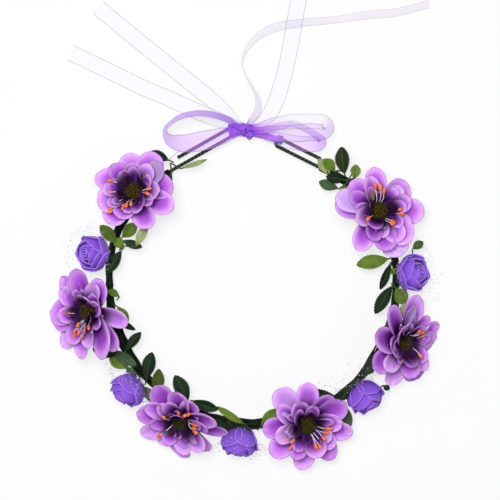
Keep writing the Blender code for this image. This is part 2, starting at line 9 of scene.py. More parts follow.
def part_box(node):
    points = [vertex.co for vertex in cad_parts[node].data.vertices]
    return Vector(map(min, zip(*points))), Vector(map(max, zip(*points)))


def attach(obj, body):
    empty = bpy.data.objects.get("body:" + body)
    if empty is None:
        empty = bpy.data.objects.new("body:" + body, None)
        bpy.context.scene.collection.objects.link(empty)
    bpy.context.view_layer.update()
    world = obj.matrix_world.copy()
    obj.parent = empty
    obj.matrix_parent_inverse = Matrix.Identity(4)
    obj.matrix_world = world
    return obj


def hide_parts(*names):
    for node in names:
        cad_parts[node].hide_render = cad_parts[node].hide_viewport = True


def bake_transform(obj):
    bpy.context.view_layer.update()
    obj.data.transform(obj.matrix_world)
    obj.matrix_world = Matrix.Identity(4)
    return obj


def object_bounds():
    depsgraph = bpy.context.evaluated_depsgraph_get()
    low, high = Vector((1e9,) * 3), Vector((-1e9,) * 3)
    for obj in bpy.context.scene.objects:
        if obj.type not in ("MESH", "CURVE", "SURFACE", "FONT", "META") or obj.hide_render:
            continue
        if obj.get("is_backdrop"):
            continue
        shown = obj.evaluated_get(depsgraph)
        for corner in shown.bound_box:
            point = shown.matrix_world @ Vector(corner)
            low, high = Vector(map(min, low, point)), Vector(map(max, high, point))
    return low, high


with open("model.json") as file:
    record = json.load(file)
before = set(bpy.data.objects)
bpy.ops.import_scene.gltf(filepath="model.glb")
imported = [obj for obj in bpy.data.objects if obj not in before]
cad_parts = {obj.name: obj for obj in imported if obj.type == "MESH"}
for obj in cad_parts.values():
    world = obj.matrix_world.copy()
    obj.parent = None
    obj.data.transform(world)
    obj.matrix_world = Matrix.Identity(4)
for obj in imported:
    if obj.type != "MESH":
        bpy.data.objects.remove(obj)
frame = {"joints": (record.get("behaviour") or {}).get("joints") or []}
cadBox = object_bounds()

mm = 0.001
hinge = Vector(frame["joints"][0]["pos_m"])
tapeLow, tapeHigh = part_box("binding_tape_left")
tapeRadius = (tapeHigh.z - tapeLow.z) / 2
ringRadius = hinge.x - tapeLow.x - tapeRadius
ringHeight = hinge.z
ringCentre = Vector((hinge.x, hinge.y + ringRadius, 0))


goldenAngle = 2.39996    # each turned by this from the last, they spread evenly
goldenShare = 0.61803


# places round the ring: azimuths in degrees, lengths in millimetres
def polar(angle, radius, height=0.0):
    return Vector((radius * cos(angle), radius * sin(angle), height))


def onRing(azimuth, radius, height=0.0):
    return ringCentre + polar(radians(azimuth), radius, height) * mm


def inPlan(x, y, z=0.0):
    return ringCentre + Vector((x, y, z)) * mm


def leaning(place, azimuth, lean, turn=0.0):
    return (Matrix.Translation(place) @ Matrix.Rotation(radians(azimuth), 4, "Z")
            @ Matrix.Rotation(radians(lean), 4, "Y") @ Matrix.Rotation(radians(turn), 4, "Z"))


def halfOf(azimuth):
    return "left_half" if 90 < azimuth % 360 < 270 else "right_half"


def evenly(count):
    # count + 1 numbers from -1 to 1
    return [2 * k / count - 1 for k in range(count + 1)]


def roundAngles(count):
    return [2 * pi * k / count for k in range(count)]


def poleToPole(count):
    return [pi * (0.02 + 0.96 * i / count) for i in range(count + 1)]


def softStep(low, high, x):
    t = min(max((x - low) / (high - low), 0.0), 1.0)
    return t * t * (3 - 2 * t)


def throughPoints(points, step):
    # smooth curve through points of any number of values, the first three being a place
    rows = [list(p) for p in points]
    before = [2 * a - b for a, b in zip(rows[0], rows[1])]
    after = [2 * a - b for a, b in zip(rows[-1], rows[-2])]
    rows = [before] + rows + [after]
    out = []
    for p0, p1, p2, p3 in zip(rows, rows[1:], rows[2:], rows[3:]):
        count = max(2, round(dist(p1[:3], p2[:3]) / (step * mm)))
        for i in range(count):
            t = i / count
            out.append([0.5 * (2 * b + (c - a) * t + (2 * a - 5 * b + 4 * c - d) * t * t
                               + (3 * b - a - 3 * c + d) * t ** 3) for a, b, c, d in zip(p0, p1, p2, p3)])
    out.append(rows[-2])
    return out


def smoothRoute(points, step):
    return [Vector(p) for p in throughPoints(points, step)]


def crossFrames(points):
    # tangent, level side and up at each point of a route
    frames = []
    for i, here in enumerate(points):
        tangent = (points[min(i + 1, len(points) - 1)] - points[max(i - 1, 0)]).normalized()
        side = tangent.cross(Vector((0, 0, 1)))
        if side.length < 0.25 and frames:
            side = frames[-1][1] - tangent * frames[-1][1].dot(tangent)
        side.normalize()
        frames.append((tangent, side, side.cross(tangent)))
    return frames


class Sheets:
    # gathers grids of points into one mesh, with a few numbers kept at each point
    def __init__(self):
        self.verts, self.faces, self.marks = [], [], {}

    def grid(self, rows, wrap=False, capped=False, **marks):
        first = len(self.verts)
        wide = len(rows[0])
        self.verts.extend(point for row in rows for point in row)
        for i in range(len(rows) - 1):
            for k in range(wide if wrap else wide - 1):
                a, b = first + i * wide + k, first + i * wide + (k + 1) % wide
                self.faces.append((a, b, b + wide, a + wide))
        if capped:
            self.faces.append([first + k for k in range(wide)][::-1])
            self.faces.append([first + (len(rows) - 1) * wide + k for k in range(wide)])
        for name, value in marks.items():
            flat = self.marks.setdefault(name, [])
            flat.extend([0.0] * (first - len(flat)))
            if isinstance(value, (int, float)):
                flat.extend([value] * (len(rows) * wide))
            else:
                flat.extend(v for row in value for v in row)

    def make(self, name, finish, thick=0.0, level=0, body=None, stands=(), slot=None):
        name = name.replace("_", "-")
        mesh = bpy.data.meshes.new(name)
        mesh.from_pydata(self.verts, [], self.faces)
        for mark, flat in self.marks.items():
            flat.extend([0.0] * (len(self.verts) - len(flat)))
            mesh.attributes.new(mark, "FLOAT", "POINT").data.foreach_set("value", flat)
        mesh.shade_smooth()
        mesh.materials.append(finish)
        mesh.update()
        thing = bpy.data.objects.new(name, mesh)
        bpy.context.collection.objects.link(thing)
        if thick:
            shell = thing.modifiers.new("thickness", "SOLIDIFY")
            shell.thickness = thick * mm
            shell.offset = 0
        if level:
            fine = thing.modifiers.new("fine", "SUBSURF")
            fine.levels = fine.render_levels = level
        if body:
            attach(thing, body)
        if stands:
            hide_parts(*stands)
        return thing


def addTube(sheets, points, radius, sides=8, **marks):
    # radius is a number, or a function of the station and the angle
    size = radius if callable(radius) else lambda i, a: radius
    rows = [[here + (side * cos(a) + up * sin(a)) * size(i, a) * mm for a in roundAngles(sides)]
            for i, (here, (tangent, side, up)) in enumerate(zip(points, crossFrames(points)))]
    sheets.grid(rows, wrap=True, capped=True, **marks)


def addPod(sheets, place, direction, length, radius, **marks):
    # closed pod from a place along a direction
    turn = direction.to_track_quat("Z", "Y").to_matrix()
    rows = []
    for i in range(8):
        a = pi * (0.03 + 0.94 * i / 7)
        wide, along = radius * sin(a) ** 0.7, length * 0.5 * (1 - cos(a))
        rows.append([place + turn @ polar(b, wide, along) * mm for b in roundAngles(8)])
    sheets.grid(rows, wrap=True, capped=True, **marks)


class Sock:
    # a shader socket that can be used in arithmetic
    def __init__(self, finish, socket):
        self.finish, self.socket = finish, socket

    def maths(self, operation, first, second=0.0):
        return self.finish.node("ShaderNodeMath", {"operation": operation}, {0: first, 1: second})

    def __add__(self, other):
        return self.maths("ADD", self, other)

    def __radd__(self, other):
        return self.maths("ADD", other, self)

    def __sub__(self, other):
        return self.maths("SUBTRACT", self, other)

    def __rsub__(self, other):
        return self.maths("SUBTRACT", other, self)

    def __mul__(self, other):
        return self.maths("MULTIPLY", self, other)

    def __rmul__(self, other):
        return self.maths("MULTIPLY", other, self)

    def __abs__(self):
        return self.maths("ABSOLUTE", self)

    def sine(self):
        return self.maths("SINE", self)

    def clamped(self):
        return self.finish.node("ShaderNodeMath", {"operation": "ADD", "use_clamp": True}, {0: self, 1: 0.0})

    def ramp(self, low, high):
        # 0 below low, 1 above high, smooth between
        return self.finish.node("ShaderNodeMapRange", {"interpolation_type": "SMOOTHSTEP"},
                                {"Value": self, "From Min": low, "From Max": high})


class Finish:
    def __init__(self, name, **fixed):
        self.material = bpy.data.materials.new(name)
        self.material.use_nodes = True
        self.tree = self.material.node_tree
        self.shader = self.tree.nodes["Principled BSDF"]
        for socket, value in fixed.items():
            self.shader.inputs[socket.replace("_", " ")].default_value = value

    def node(self, kind, settings=None, sockets=None, out=0):
        made = self.tree.nodes.new(kind)
        for name, value in (settings or {}).items():
            if name == "stops":
                for stop, (place, colour) in zip(made.color_ramp.elements, value):
                    stop.position, stop.color = place, (*colour, 1)
            else:
                setattr(made, name, value)
        for key, value in (sockets or {}).items():
            if isinstance(value, Sock):
                self.tree.links.new(value.socket, made.inputs[key])
            else:
                made.inputs[key].default_value = value
        return Sock(self, made.outputs[out])

    def mark(self, name):
        return self.node("ShaderNodeAttribute", {"attribute_name": name}, out=2)

    def place(self):
        return self.node("ShaderNodeTexCoord", out=3)

    def grain(self, size, detail=2.0, rough=0.5):
        # noise with features of about this size in millimetres
        return self.node("ShaderNodeTexNoise", {}, {"Vector": self.place(), "Scale": 1 / (size * mm),
                                                    "Detail": detail, "Roughness": rough})

    def mixed(self, share, first, second, how="MIX"):
        first = first if isinstance(first, Sock) else (*first, 1)
        second = second if isinstance(second, Sock) else (*second, 1)
        return self.node("ShaderNodeMix", {"data_type": "RGBA", "blend_type": how},
                         {0: share, 6: first, 7: second}, 2)

    def weave(self, pitch):
        # crossing threads, pitch in millimetres
        look = {"Vector": self.place(), "Scale": 1 / (pitch * mm) / 6.3, "Distortion": 0.6, "Detail": 1.0}
        warp, weft = [self.node("ShaderNodeTexWave", {"bands_direction": way, "wave_profile": "SIN"}, look, 1)
                      for way in ("X", "Y")]
        return warp + weft

    def into(self, **sockets):
        for name, value in sockets.items():
            self.tree.links.new(value.socket, self.shader.inputs[name.replace("_", " ")])

    def tint(self, share, colour, how="MIX"):
        # lays a screen colour over what is there, by a share from 0 to 1
        self.colour = self.mixed(share, self.colour, seen(*colour), how)

    def done(self, rough, height, depth, strength, **more):
        # height is what the bump follows, depth its size in millimetres
        bump = self.node("ShaderNodeBump", {},
                         {"Strength": strength, "Distance": depth * mm, "Height": height})
        self.into(Base_Color=self.colour, Roughness=rough, Normal=bump, **more)
        return self.material


def seen(r, g, b):
    # screen colour, 0 to 255, as the linear numbers that a shader takes
    return tuple(((c / 255 + 0.055) / 1.055) ** 2.4 if c > 10 else c / 255 / 12.92 for c in (r, g, b))


# the first colour, at each petal's foot, is partly dark dye and partly painted shade; the last entry is how
# far from the flower's axis the painted shade of the dark hollow round the button ends, in millimetres
petalColours = {
    "outer": {"darkDyeAndShade": (70, 14, 96), "mid": (174, 90, 212), "tip": (220, 158, 244), "rim": (240, 200, 250),
              "heartShade": (9, 18)},
    "middle": {"darkDyeAndShade": (34, 4, 44), "mid": (158, 74, 200), "tip": (212, 146, 240), "rim": (234, 190, 248),
               "heartShade": (8, 14.5)},
    "inner": {"darkDyeAndShade": (18, 1, 16), "mid": (132, 54, 170), "tip": (212, 160, 240), "rim": (224, 186, 244),
              "heartShade": (7, 11)},
}
# what a petal's tone adds: where it begins, where it is full, how much, colour
petalTones = (
    (0.45, 0.0, 0.4, (140, 58, 180)), (0.6, 1.0, 0.45, (226, 186, 244)), (1.0, 1.3, 0.5, (214, 196, 246)),
    (1.3, 1.5, 0.6, (138, 108, 160)), (1.7, 2.0, 0.9, (116, 96, 58)))


def petalFinish(name, colours):
    f = Finish(name, Specular_IOR_Level=0.06, Subsurface_Weight=0.06, Subsurface_Scale=0.002)
    along, rim, side, tone = f.mark("along"), f.mark("rim"), f.mark("side"), f.mark("tone")
    # painted shade mask: 1 near the flower's axis, where the hollow round the button is darkened
    heartShade = 1 - f.mark("fromAxis").ramp(*colours["heartShade"])
    cloud = f.grain(7.0, 3.0)
    # darker towards each petal's foot: partly dark dye, partly painted shade under the next whorl
    f.colour = f.mixed(along.ramp(0.22, 0.80), seen(*colours["darkDyeAndShade"]), seen(*colours["mid"]))
    f.tint((rim * 0.75 + along * 0.35 + cloud * 0.35).ramp(0.62, 1.22), colours["tip"])
    streak = f.node("ShaderNodeTexNoise", {"noise_dimensions": "2D"},
                    {"Vector": f.node("ShaderNodeCombineXYZ", {}, {"X": side * 9.0, "Y": along * 1.4}),
                     "Scale": 3.0, "Detail": 3.0})
    f.tint(streak.ramp(0.42, 0.75) * 0.25, colours["mid"], "MULTIPLY")
    f.tint(rim.ramp(0.55, 0.98) * 0.26, colours["rim"])
    for begins, full, share, colour in petalTones:
        reached = tone.ramp(begins, full) if begins < full else 1 - tone.ramp(full, begins)
        f.tint(reached * share, colour)
    f.tint(rim.ramp(0.98, 1.0) * 0.55, (132, 84, 132))
    # painted shade: the hollow round the button darkened towards the foot colour, near black for the inner
    # petals
    f.tint(heartShade * 0.97 * (1 - tone.ramp(1.0, 1.25)), colours["darkDyeAndShade"])
    return f.done(0.62 + cloud * 0.25,
                  f.weave(0.35) * 0.35 + streak * 1.2 + f.grain(2.6) * 0.8, 0.16, 0.7)


def foamFinish():
    f = Finish("roseFoam", Sheen_Weight=0.05, Sheen_Roughness=0.5, Specular_IOR_Level=0.15,
               Subsurface_Weight=0.12, Subsurface_Scale=0.002)
    along, rim = f.mark("along"), f.mark("rim")
    cloud = f.grain(5.0, 3.0)
    # darker towards the petal feet and low in the rolled centre, where shade falls: painted shade
    f.colour = f.mixed(along.ramp(0.15, 0.95), seen(78, 34, 140), seen(138, 88, 212))
    f.tint(cloud.ramp(0.35, 0.7) * 0.35, (118, 68, 192))
    # lighter petal rims: painted highlight
    f.tint(rim.ramp(0.90, 1.0) * 0.5, (178, 138, 236))
    return f.done(0.6 + f.grain(0.8) * 0.25, f.grain(0.35, 3.0) + cloud * 0.6, 0.12, 0.8)


def leafFinish():
    f = Finish("leafSilk", Specular_IOR_Level=0.12)
    along, side, tone, grey = f.mark("along"), f.mark("side"), f.mark("tone"), f.mark("grey")
    cloud = f.grain(4.0, 3.0)
    f.colour = f.mixed(tone.ramp(0.0, 0.5), seen(6, 26, 13), seen(100, 124, 38))
    f.tint(tone.ramp(0.5, 1.0), (166, 178, 124))
    f.tint(grey, (62, 80, 66))
    f.tint(cloud.ramp(0.3, 0.75) * 0.35, (14, 44, 20))
    midrib = 1 - abs(side).ramp(0.02, 0.10)
    veins = (along * 62.0 - abs(side) * 16.0).sine().ramp(0.72, 1.0)
    f.tint(midrib * 0.20 + veins * 0.08, (110, 136, 80))
    f.tint(abs(side).ramp(0.9, 1.0) * 0.35, (20, 34, 18))
    return f.done(0.42 + cloud * 0.25, midrib * -1.2 + veins * -0.5 + f.weave(0.3) * 0.2, 0.14, 0.8)


def tapeFinish():
    f = Finish("floralTape", Specular_IOR_Level=0.12)
    cloud, fine = f.grain(6.0, 4.0), f.grain(1.1, 4.0)
    f.colour = f.mixed(cloud.ramp(0.35, 0.7), seen(4, 11, 6), seen(18, 32, 17))
    f.tint(fine.ramp(0.58, 0.85) * 0.3, (48, 62, 34))
    return f.done(0.5 + fine * 0.3, fine + f.mark("lap") * 0.6, 0.35, 0.8)


def wireFinish():
    f = Finish("clothCoveredWire", Specular_IOR_Level=0.12, Sheen_Weight=0.04, Sheen_Roughness=0.4)
    thread = f.mark("lap")
    fuzz = f.grain(0.7, 4.0)
    f.colour = f.mixed(thread.ramp(0.2, 0.9), seen(26, 32, 24), seen(58, 66, 54))
    f.tint(fuzz.ramp(0.6, 0.8) * 0.4, (84, 92, 78))
    return f.done(0.7 + fuzz * 0.25, thread + fuzz * 0.5, 0.10, 0.8)


def organzaFinish():
    f = Finish("organza", Specular_IOR_Level=0.3, Roughness=0.35)
    side, dense = f.mark("side"), f.mark("dense")
    selvedge = abs(side).ramp(0.90, 0.94)
    f.colour = f.mixed(dense.ramp(0.04, 0.30), seen(196, 186, 236), seen(196, 122, 238))
    f.tint(dense.ramp(0.5, 0.82), (154, 88, 226))
    f.tint(dense.ramp(0.88, 0.98), (92, 44, 168))
    f.tint(selvedge * (1 - dense.ramp(0.3, 0.6)), (112, 104, 124))
    threads = f.weave(0.22)
    cover = dense + selvedge * 0.42 + (threads - 1.0) * 0.02
    return f.done(0.32 + threads * 0.1, threads, 0.03, 0.5, Alpha=cover.clamped())


def buttonFinish():
    f = Finish("flockedButton", Sheen_Weight=0.08, Sheen_Roughness=0.5, Specular_IOR_Level=0.06)
    speck, fibre = f.grain(0.9, 3.0), f.mark("along")
    f.colour = f.mixed(speck.ramp(0.42, 0.66), seen(30, 20, 5), seen(74, 64, 10))
    # lighter towards the fibre tips, the dome between them left dark: painted highlight and painted shade on
    # the pile
    f.tint(fibre.ramp(0.3, 1.0) * 0.6, (96, 88, 24))
    return f.done(0.85 + speck * 0.1, speck, 0.4, 0.8)


def stamenFinish():
    f = Finish("stamens", Specular_IOR_Level=0.4, Subsurface_Weight=0.1, Subsurface_Scale=0.001)
    tip, cloud = f.mark("tip"), f.grain(1.2, 3.0)
    orange = f.mixed(cloud.ramp(0.35, 0.65), seen(204, 88, 50), seen(242, 138, 98))
    f.colour = f.mixed(tip.ramp(0.4, 0.6), seen(226, 214, 226), orange)
    return f.done(0.45 + cloud * 0.25, cloud, 0.12, 0.6)


def netFinish():
    f = Finish("net", Roughness=0.6, Specular_IOR_Level=0.2)
    a, b = f.mark("side") * 150.0, f.mark("along") * 60.0
    lines = 1 - abs(((a + b).sine()) * ((a - b).sine())).ramp(0.02, 0.16)
    f.into(Base_Color=f.mixed(lines, seen(236, 230, 240), seen(206, 198, 216)), Alpha=0.008 + lines * 0.06)
    return f.material


def dotFinish():
    f = Finish("netDots", Specular_IOR_Level=0.3, Sheen_Weight=0.2)
    speck = f.grain(0.4)
    # the dots are white; their greyish lilac here is painted shade
    f.into(Base_Color=f.mixed(speck, seen(176, 164, 192), seen(206, 198, 218)), Roughness=0.6 + speck * 0.3)
    return f.material


def threadFinish():
    f = Finish("cutThread", Specular_IOR_Level=0.3)
    ply = f.mark("lap")
    f.into(Base_Color=f.mixed(ply, seen(150, 150, 150), seen(214, 214, 214)), Roughness=0.6 + ply * 0.2)
    return f.material


finishes = {part: petalFinish(part + "PetalSilk", colours) for part, colours in petalColours.items()}
finishes.update(
    foam=foamFinish(), leaf=leafFinish(), tape=tapeFinish(), wire=wireFinish(), organza=organzaFinish(),
    button=buttonFinish(), stamen=stamenFinish(), net=netFinish(), dot=dotFinish(), thread=threadFinish())
print("finishes ready")


studio = {
    "viewCentre": (-1.86, 18.6), "distance": 1.35, "fieldWidth": 310.0, "worldLight": 0.20,
    "floorGlow": 0.725, "floorHalf": 4.0, "floorGap": 0.05,
    "lamps": {"key": {"power": 17.5, "size": 0.55, "place": (-0.15, 0.18, 1.25)},
              "fill": {"power": 1.6, "size": 0.9, "place": (0.7, -0.5, 1.0)}},
}


def addToScene(name, data, place):
    thing = bpy.data.objects.new(name, data)
    thing.location = place
    bpy.context.scene.collection.objects.link(thing)
    return thing


def buildStudio():
    scene = bpy.context.scene
    lens = bpy.data.cameras.new("camera")
    lens.sensor_width = 36
    lens.lens = lens.sensor_width * studio["distance"] / (studio["fieldWidth"] * mm)
    lens.clip_end = 20
    above = Vector((0, 0, studio["distance"]))
    scene.camera = addToScene("camera", lens, inPlan(*studio["viewCentre"]) + above)
    scene.view_settings.view_transform = "Standard"

    world = bpy.data.worlds.new("softBox")
    world.use_nodes = True
    world.node_tree.nodes["Background"].inputs["Strength"].default_value = studio["worldLight"]
    world.node_tree.nodes["Background"].inputs["Color"].default_value = (1, 1, 1, 1)
    scene.world = world
    for name, look in studio["lamps"].items():
        lamp = bpy.data.lights.new(name, "AREA")
        lamp.energy, lamp.size = look["power"], look["size"]
        thing = addToScene(name, lamp, look["place"])
        thing.rotation_euler = (-Vector(look["place"])).to_track_quat("-Z", "Y").to_euler()

    pale = Finish("paleFloor", Roughness=0.9, Specular_IOR_Level=0.1, Emission_Color=(1, 1, 1, 1),
                  Emission_Strength=studio["floorGlow"])
    pale.into(Base_Color=pale.mixed(pale.grain(60.0), (0.20, 0.20, 0.20), (0.215, 0.215, 0.215)))
    mesh = bpy.data.meshes.new("floor")
    far = studio["floorHalf"]
    mesh.from_pydata([(-far, -far, 0), (far, -far, 0), (far, far, 0), (-far, far, 0)], [], [(0, 1, 2, 3)])
    mesh.materials.append(pale.material)
    addToScene("floor", mesh, (0, 0, -studio["floorGap"] * mm))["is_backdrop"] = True


buildStudio()
print("studio ready")


# "face" is where a rose looks; "spread", "leaves" and "reach" change its net's collar
roses = {
    "rose_left": {"azimuth": 170.4, "radius": 100, "turn": 200, "face": 190, "lean": 44},
    "rose_front_left": {"azimuth": 221.3, "radius": 103.2, "turn": 40, "face": 232, "lean": 74,
                        "spread": -35},
    "rose_front": {"azimuth": 265.4, "radius": 100.8, "turn": 80, "face": 268, "lean": 76},
    "rose_front_right": {"azimuth": 313.7, "radius": 100.4, "turn": 0, "face": 300, "lean": 70,
                         "spread": -46, "leaves": 134, "reach": 1.6},
    "rose_right": {"azimuth": 2.5, "radius": 98.6, "turn": 120, "face": 10, "lean": 46},
}
roseHead = {"height": 12.3, "radius": 10.6}
roseCentres = [onRing(r["azimuth"], r["radius"], roseHead["height"]) for r in roses.values()]


def clearOfTape(point, room):
    flat = point - ringCentre
    flat.z = 0
    across, rise = flat.length - ringRadius, point.z - ringHeight
    gap = hypot(across, rise)
    keep = tapeRadius + room * mm
    if gap < keep:
        point = ringCentre + flat.normalized() * (ringRadius + across * keep / gap)
        point.z = ringHeight + rise * keep / gap
    return point


def aboveFloor(point, low=0.5):
    if point.z < low * mm:
        point.z = (0.15 + 0.35 * exp(min(point.z / mm - low, 0))) * mm
    return point


def giveWay(point, room=1.5, overTape=0.6):
    # soft pieces settle on the floor and bend round the ring and the rose heads
    for centre in roseCentres:
        away = point - centre
        keep = (roseHead["radius"] + room) * mm
        if away.length < keep:
            away.z = abs(away.z) + 0.2 * mm
            point = centre + away.normalized() * keep
    point = clearOfTape(point, overTape)
    low = 1.6 * mm
    if point.z < low:
        point.z = low * exp(max((point.z - low) / low, -4)) * 0.85 + 0.1 * low
    return point


petalLook = {
    "length": (0.92, 1.04), "width": (0.80, 1.08), "tilt": (-13, 11), "cup": (0.75, 1.25), "roll": (-8, 24),
    "bend": (-0.10, 0.10), "widest": (0.60, 0.68), "footShare": 0.3, "crease": 0.35, "ripple": 0.5,
    "lip": 0.7, "along": 11, "across": 8, "slices": 6,
}


def petalWidth(v, widest):
    if v < widest:
        foot = petalLook["footShare"]
        return foot + (1 - foot) * sin(pi / 2 * v / widest) ** 1.25
    q = (v - widest) / (1 - widest)
    return sqrt(max(1 - q ** 2.6, 0.004))


def rimShare(u, q):
    # 0 in the middle of a petal, 1 at its rim; q is 0 up to its widest place and 1 at its tip
    return hypot(u * sqrt(max(1 - q * q, 0)), q)


def addPetal(sheets, place, azimuth, shape, rng, tone):
    def drawn(key):
        return rng.uniform(*petalLook[key])

    length = shape["length"] * drawn("length")
    half = shape["width"] / 2 * drawn("width")
    tilt = drawn("tilt")
    rise = [radians(a + tilt + rng.uniform(-4, 4)) for a in shape["rise"]]
    cup = shape["cup"] * drawn("cup")
    roll, bend = radians(drawn("roll")), drawn("bend")
    phase, waves = rng.uniform(0, 6.3), rng.uniform(2.2, 3.6)
    widest = drawn("widest")
    spin = Matrix.Rotation(radians(azimuth), 4, "Z")
    r, z, last = shape["foot"], shape["height"], 0.0
    us, slices = evenly(petalLook["across"]), petalLook["slices"]
    rows, along, rims, fromAxis = [], [], [], []
    for i in range(petalLook["along"] + 1):
        v = 1 - (1 - i / petalLook["along"]) ** 1.45
        for s in range(slices):
            angle = rise[0] + (rise[1] - rise[0]) * (last + (v - last) * (s + 0.5) / slices)
            r += cos(angle) * length * (v - last) / slices
            z += sin(angle) * length * (v - last) / slices
        last = v
        angle = rise[0] + (rise[1] - rise[0]) * v
        outward, normal = Vector((cos(angle), 0, sin(angle))), Vector((-sin(angle), 0, cos(angle)))
        side = Vector((0, cos(roll), 0)) + normal * sin(roll)
        width = half * petalWidth(v, widest)
        q = max((v - widest) / (1 - widest), 0)
        row, axisRow = [], []
        for u in us:
            rim = rimShare(u, q)
            lift = cup * (u * u * sin(pi * min(v * 0.9 + 0.08, 1)) + 0.55 * q * q)
            lift -= petalLook["crease"] * exp(-(u / 0.2) ** 2) * sin(pi * v)
            lift += petalLook["ripple"] * rim ** 3 * sin(phase + waves * u * 2 + v * 3)
            lift -= petalLook["lip"] * max(rim - 0.75, 0) / 0.25 * v
            nibble = 0.014 * sin(phase * 2 + 7 * u) * rim ** 4 * q
            local = Vector((r, 0, z)) + side * (width * u) + normal * lift
            local += Vector((0, bend * length * v * v, 0)) + outward * (length * nibble)
            row.append(giveWay(place @ (spin @ (local * mm))))
            axisRow.append(hypot(local.x, local.y))
        rows.append(row)
        along.append([v] * len(us))
        rims.append([rimShare(u, q) for u in us])
        fromAxis.append(axisRow)
    sheets.grid(rows, along=along, rim=rims, side=[us] * len(rows), fromAxis=fromAxis, tone=tone)


# azimuth and radius of the button, lean, height of the lowest whorl, turn, length of the longest petals;
# stamens' tips as (direction, distance) seen from above; odd petals as (whorl, heading, length, width,
# rise at foot and tip, tone, foot, height)
flowers = {
    "flower_back_left": {
        "azimuth": 143.3, "radius": 92.3, "lean": 20, "seat": 10.6, "turn": 8, "reach": 24.8, "seed": 11,
        "stamens": ((155, 14), (182, 13), (6, 9), (350, 8), (262, 7), (236, 10), (218, 16), (223, 17.5),
                    (246, 8.5)),
        "odd": (
            ("outer", 38, 23, 15, (14, 10), 1.5, 4, 2),
            ("middle", 56, 8, 6.6, (30, 6), 2, 8, 7))},
    "flower_left": {
        "azimuth": 190.9, "radius": 104.5, "lean": 38, "seat": 13, "turn": 30, "reach": 29, "seed": 23,
        "stamens": ((183, 11), (40, 7), (240, 15), (234, 8), (278, 8), (257, 14), (248, 12), (262, 10),
                    (236, 13)),
        "odd": (
            ("outer", 318, 30, 22, (26, 8), 0.6, 4, 2),
            ("middle", 60, 20, 12, (60, 40), 0.5, 4, 2))},
    "flower_front_left": {
        "azimuth": 242.8, "radius": 99, "lean": 41, "seat": 12.6, "turn": 14, "reach": 27.4, "seed": 35,
        "stamens": ((164, 9), (95, 5.5), (48, 7), (213, 14), (355, 8), (330, 10), (338, 8), (60, 5)),
        "odd": (
            ("middle", 100, 12, 13, (68, 60), 0.4, 4, 2),
            ("inner", 270, 15, 5, (24, 14), 1.3, 4, 2),
            ("inner", 250, 13, 4.6, (26, 10), 1.25, 4, 2),
            ("middle", 212, 12, 5, (24, 20), 1.8, 4, 2))},
    "flower_front_right": {
        "azimuth": 290.3, "radius": 95.8, "lean": 20, "seat": 10.4, "turn": 22, "reach": 28, "seed": 42,
        "stamens": ((354, 12), (212, 14), (232, 15), (257, 13.5), (294, 12), (313, 12.5), (303, 14),
                    (326, 11),
                    (224, 11), (340, 11)),
        "odd": (
            ("inner", 184, 9.5, 6.8, (46, 30), 1.3, 7.4, 6),)},
    "flower_right": {
        "azimuth": 337.5, "radius": 102, "lean": 44, "seat": 12.6, "turn": 4, "reach": 28, "seed": 58,
        "stamens": ((102, 8), (32, 12), (22, 11), (323, 11), (288, 12), (256, 10), (294, 13.5),
                    (302, 11), (40, 10)),
        "odd": (
            ("outer", 92, 24, 9, (20, 14), 1.5, 4, 2),)},
    "flower_back_right": {
        "azimuth": 28.5, "radius": 89.2, "lean": 18, "seat": 11.4, "turn": 18, "reach": 26, "seed": 64,
        "stamens": ((103, 14), (80, 11), (34, 16), (4, 10), (318, 8.5), (209, 8), (354, 12), (90, 13),
                    (310, 9)),
        "odd": (
            ("middle", 128, 9.5, 5.4, (24, 10), 2, 8, 8),
            ("outer", 160, 26, 17, (12, 4), 1.2, 4, 2),
            ("outer", 292, 27, 18, (12, 2), 1.2, 4, 2))},
}
whorls = {
    "outer": (
        {"count": 8, "length": 1, "width": 17, "foot": 2, "height": 0, "rise": (24, 2), "cup": 3.4,
         "turn": 0},
        {"count": 8, "length": 0.84, "width": 13.5, "foot": 2, "height": 0.8, "rise": (40, 14), "cup": 3.4,
         "turn": 20}),
    "middle": (
        {"count": 7, "length": 0.66, "width": 11, "foot": 2.8, "height": 1.4, "rise": (54, 24), "cup": 3,
         "turn": 24},
        {"count": 4, "length": 0.5, "width": 7.5, "foot": 3.6, "height": 1.6, "rise": (62, 36), "cup": 2.2,
         "turn": 40}),
    "inner": (
        {"count": 6, "length": 0.4, "width": 4.8, "foot": 5.2, "height": 1.6, "rise": (58, 24), "cup": 0.8,
         "turn": 10},),
}
oddCup = 2.0
stamenLook = {
    "height": (4.4, 6.4), "arch": (1.0, 2.2), "sway": 0.8, "footOut": 4.6, "footDown": 2.2, "thread": 0.26,
    "tipLength": (3.6, 5.0), "tipRadius": (0.95, 1.25), "tipTilt": 0.2,
}
petalThick = 0.28
button = {"radius": 6.5, "top": 8.4, "seat": 2.4, "stem": 0.7, "fibres": 420, "fibreLength": 0.9}


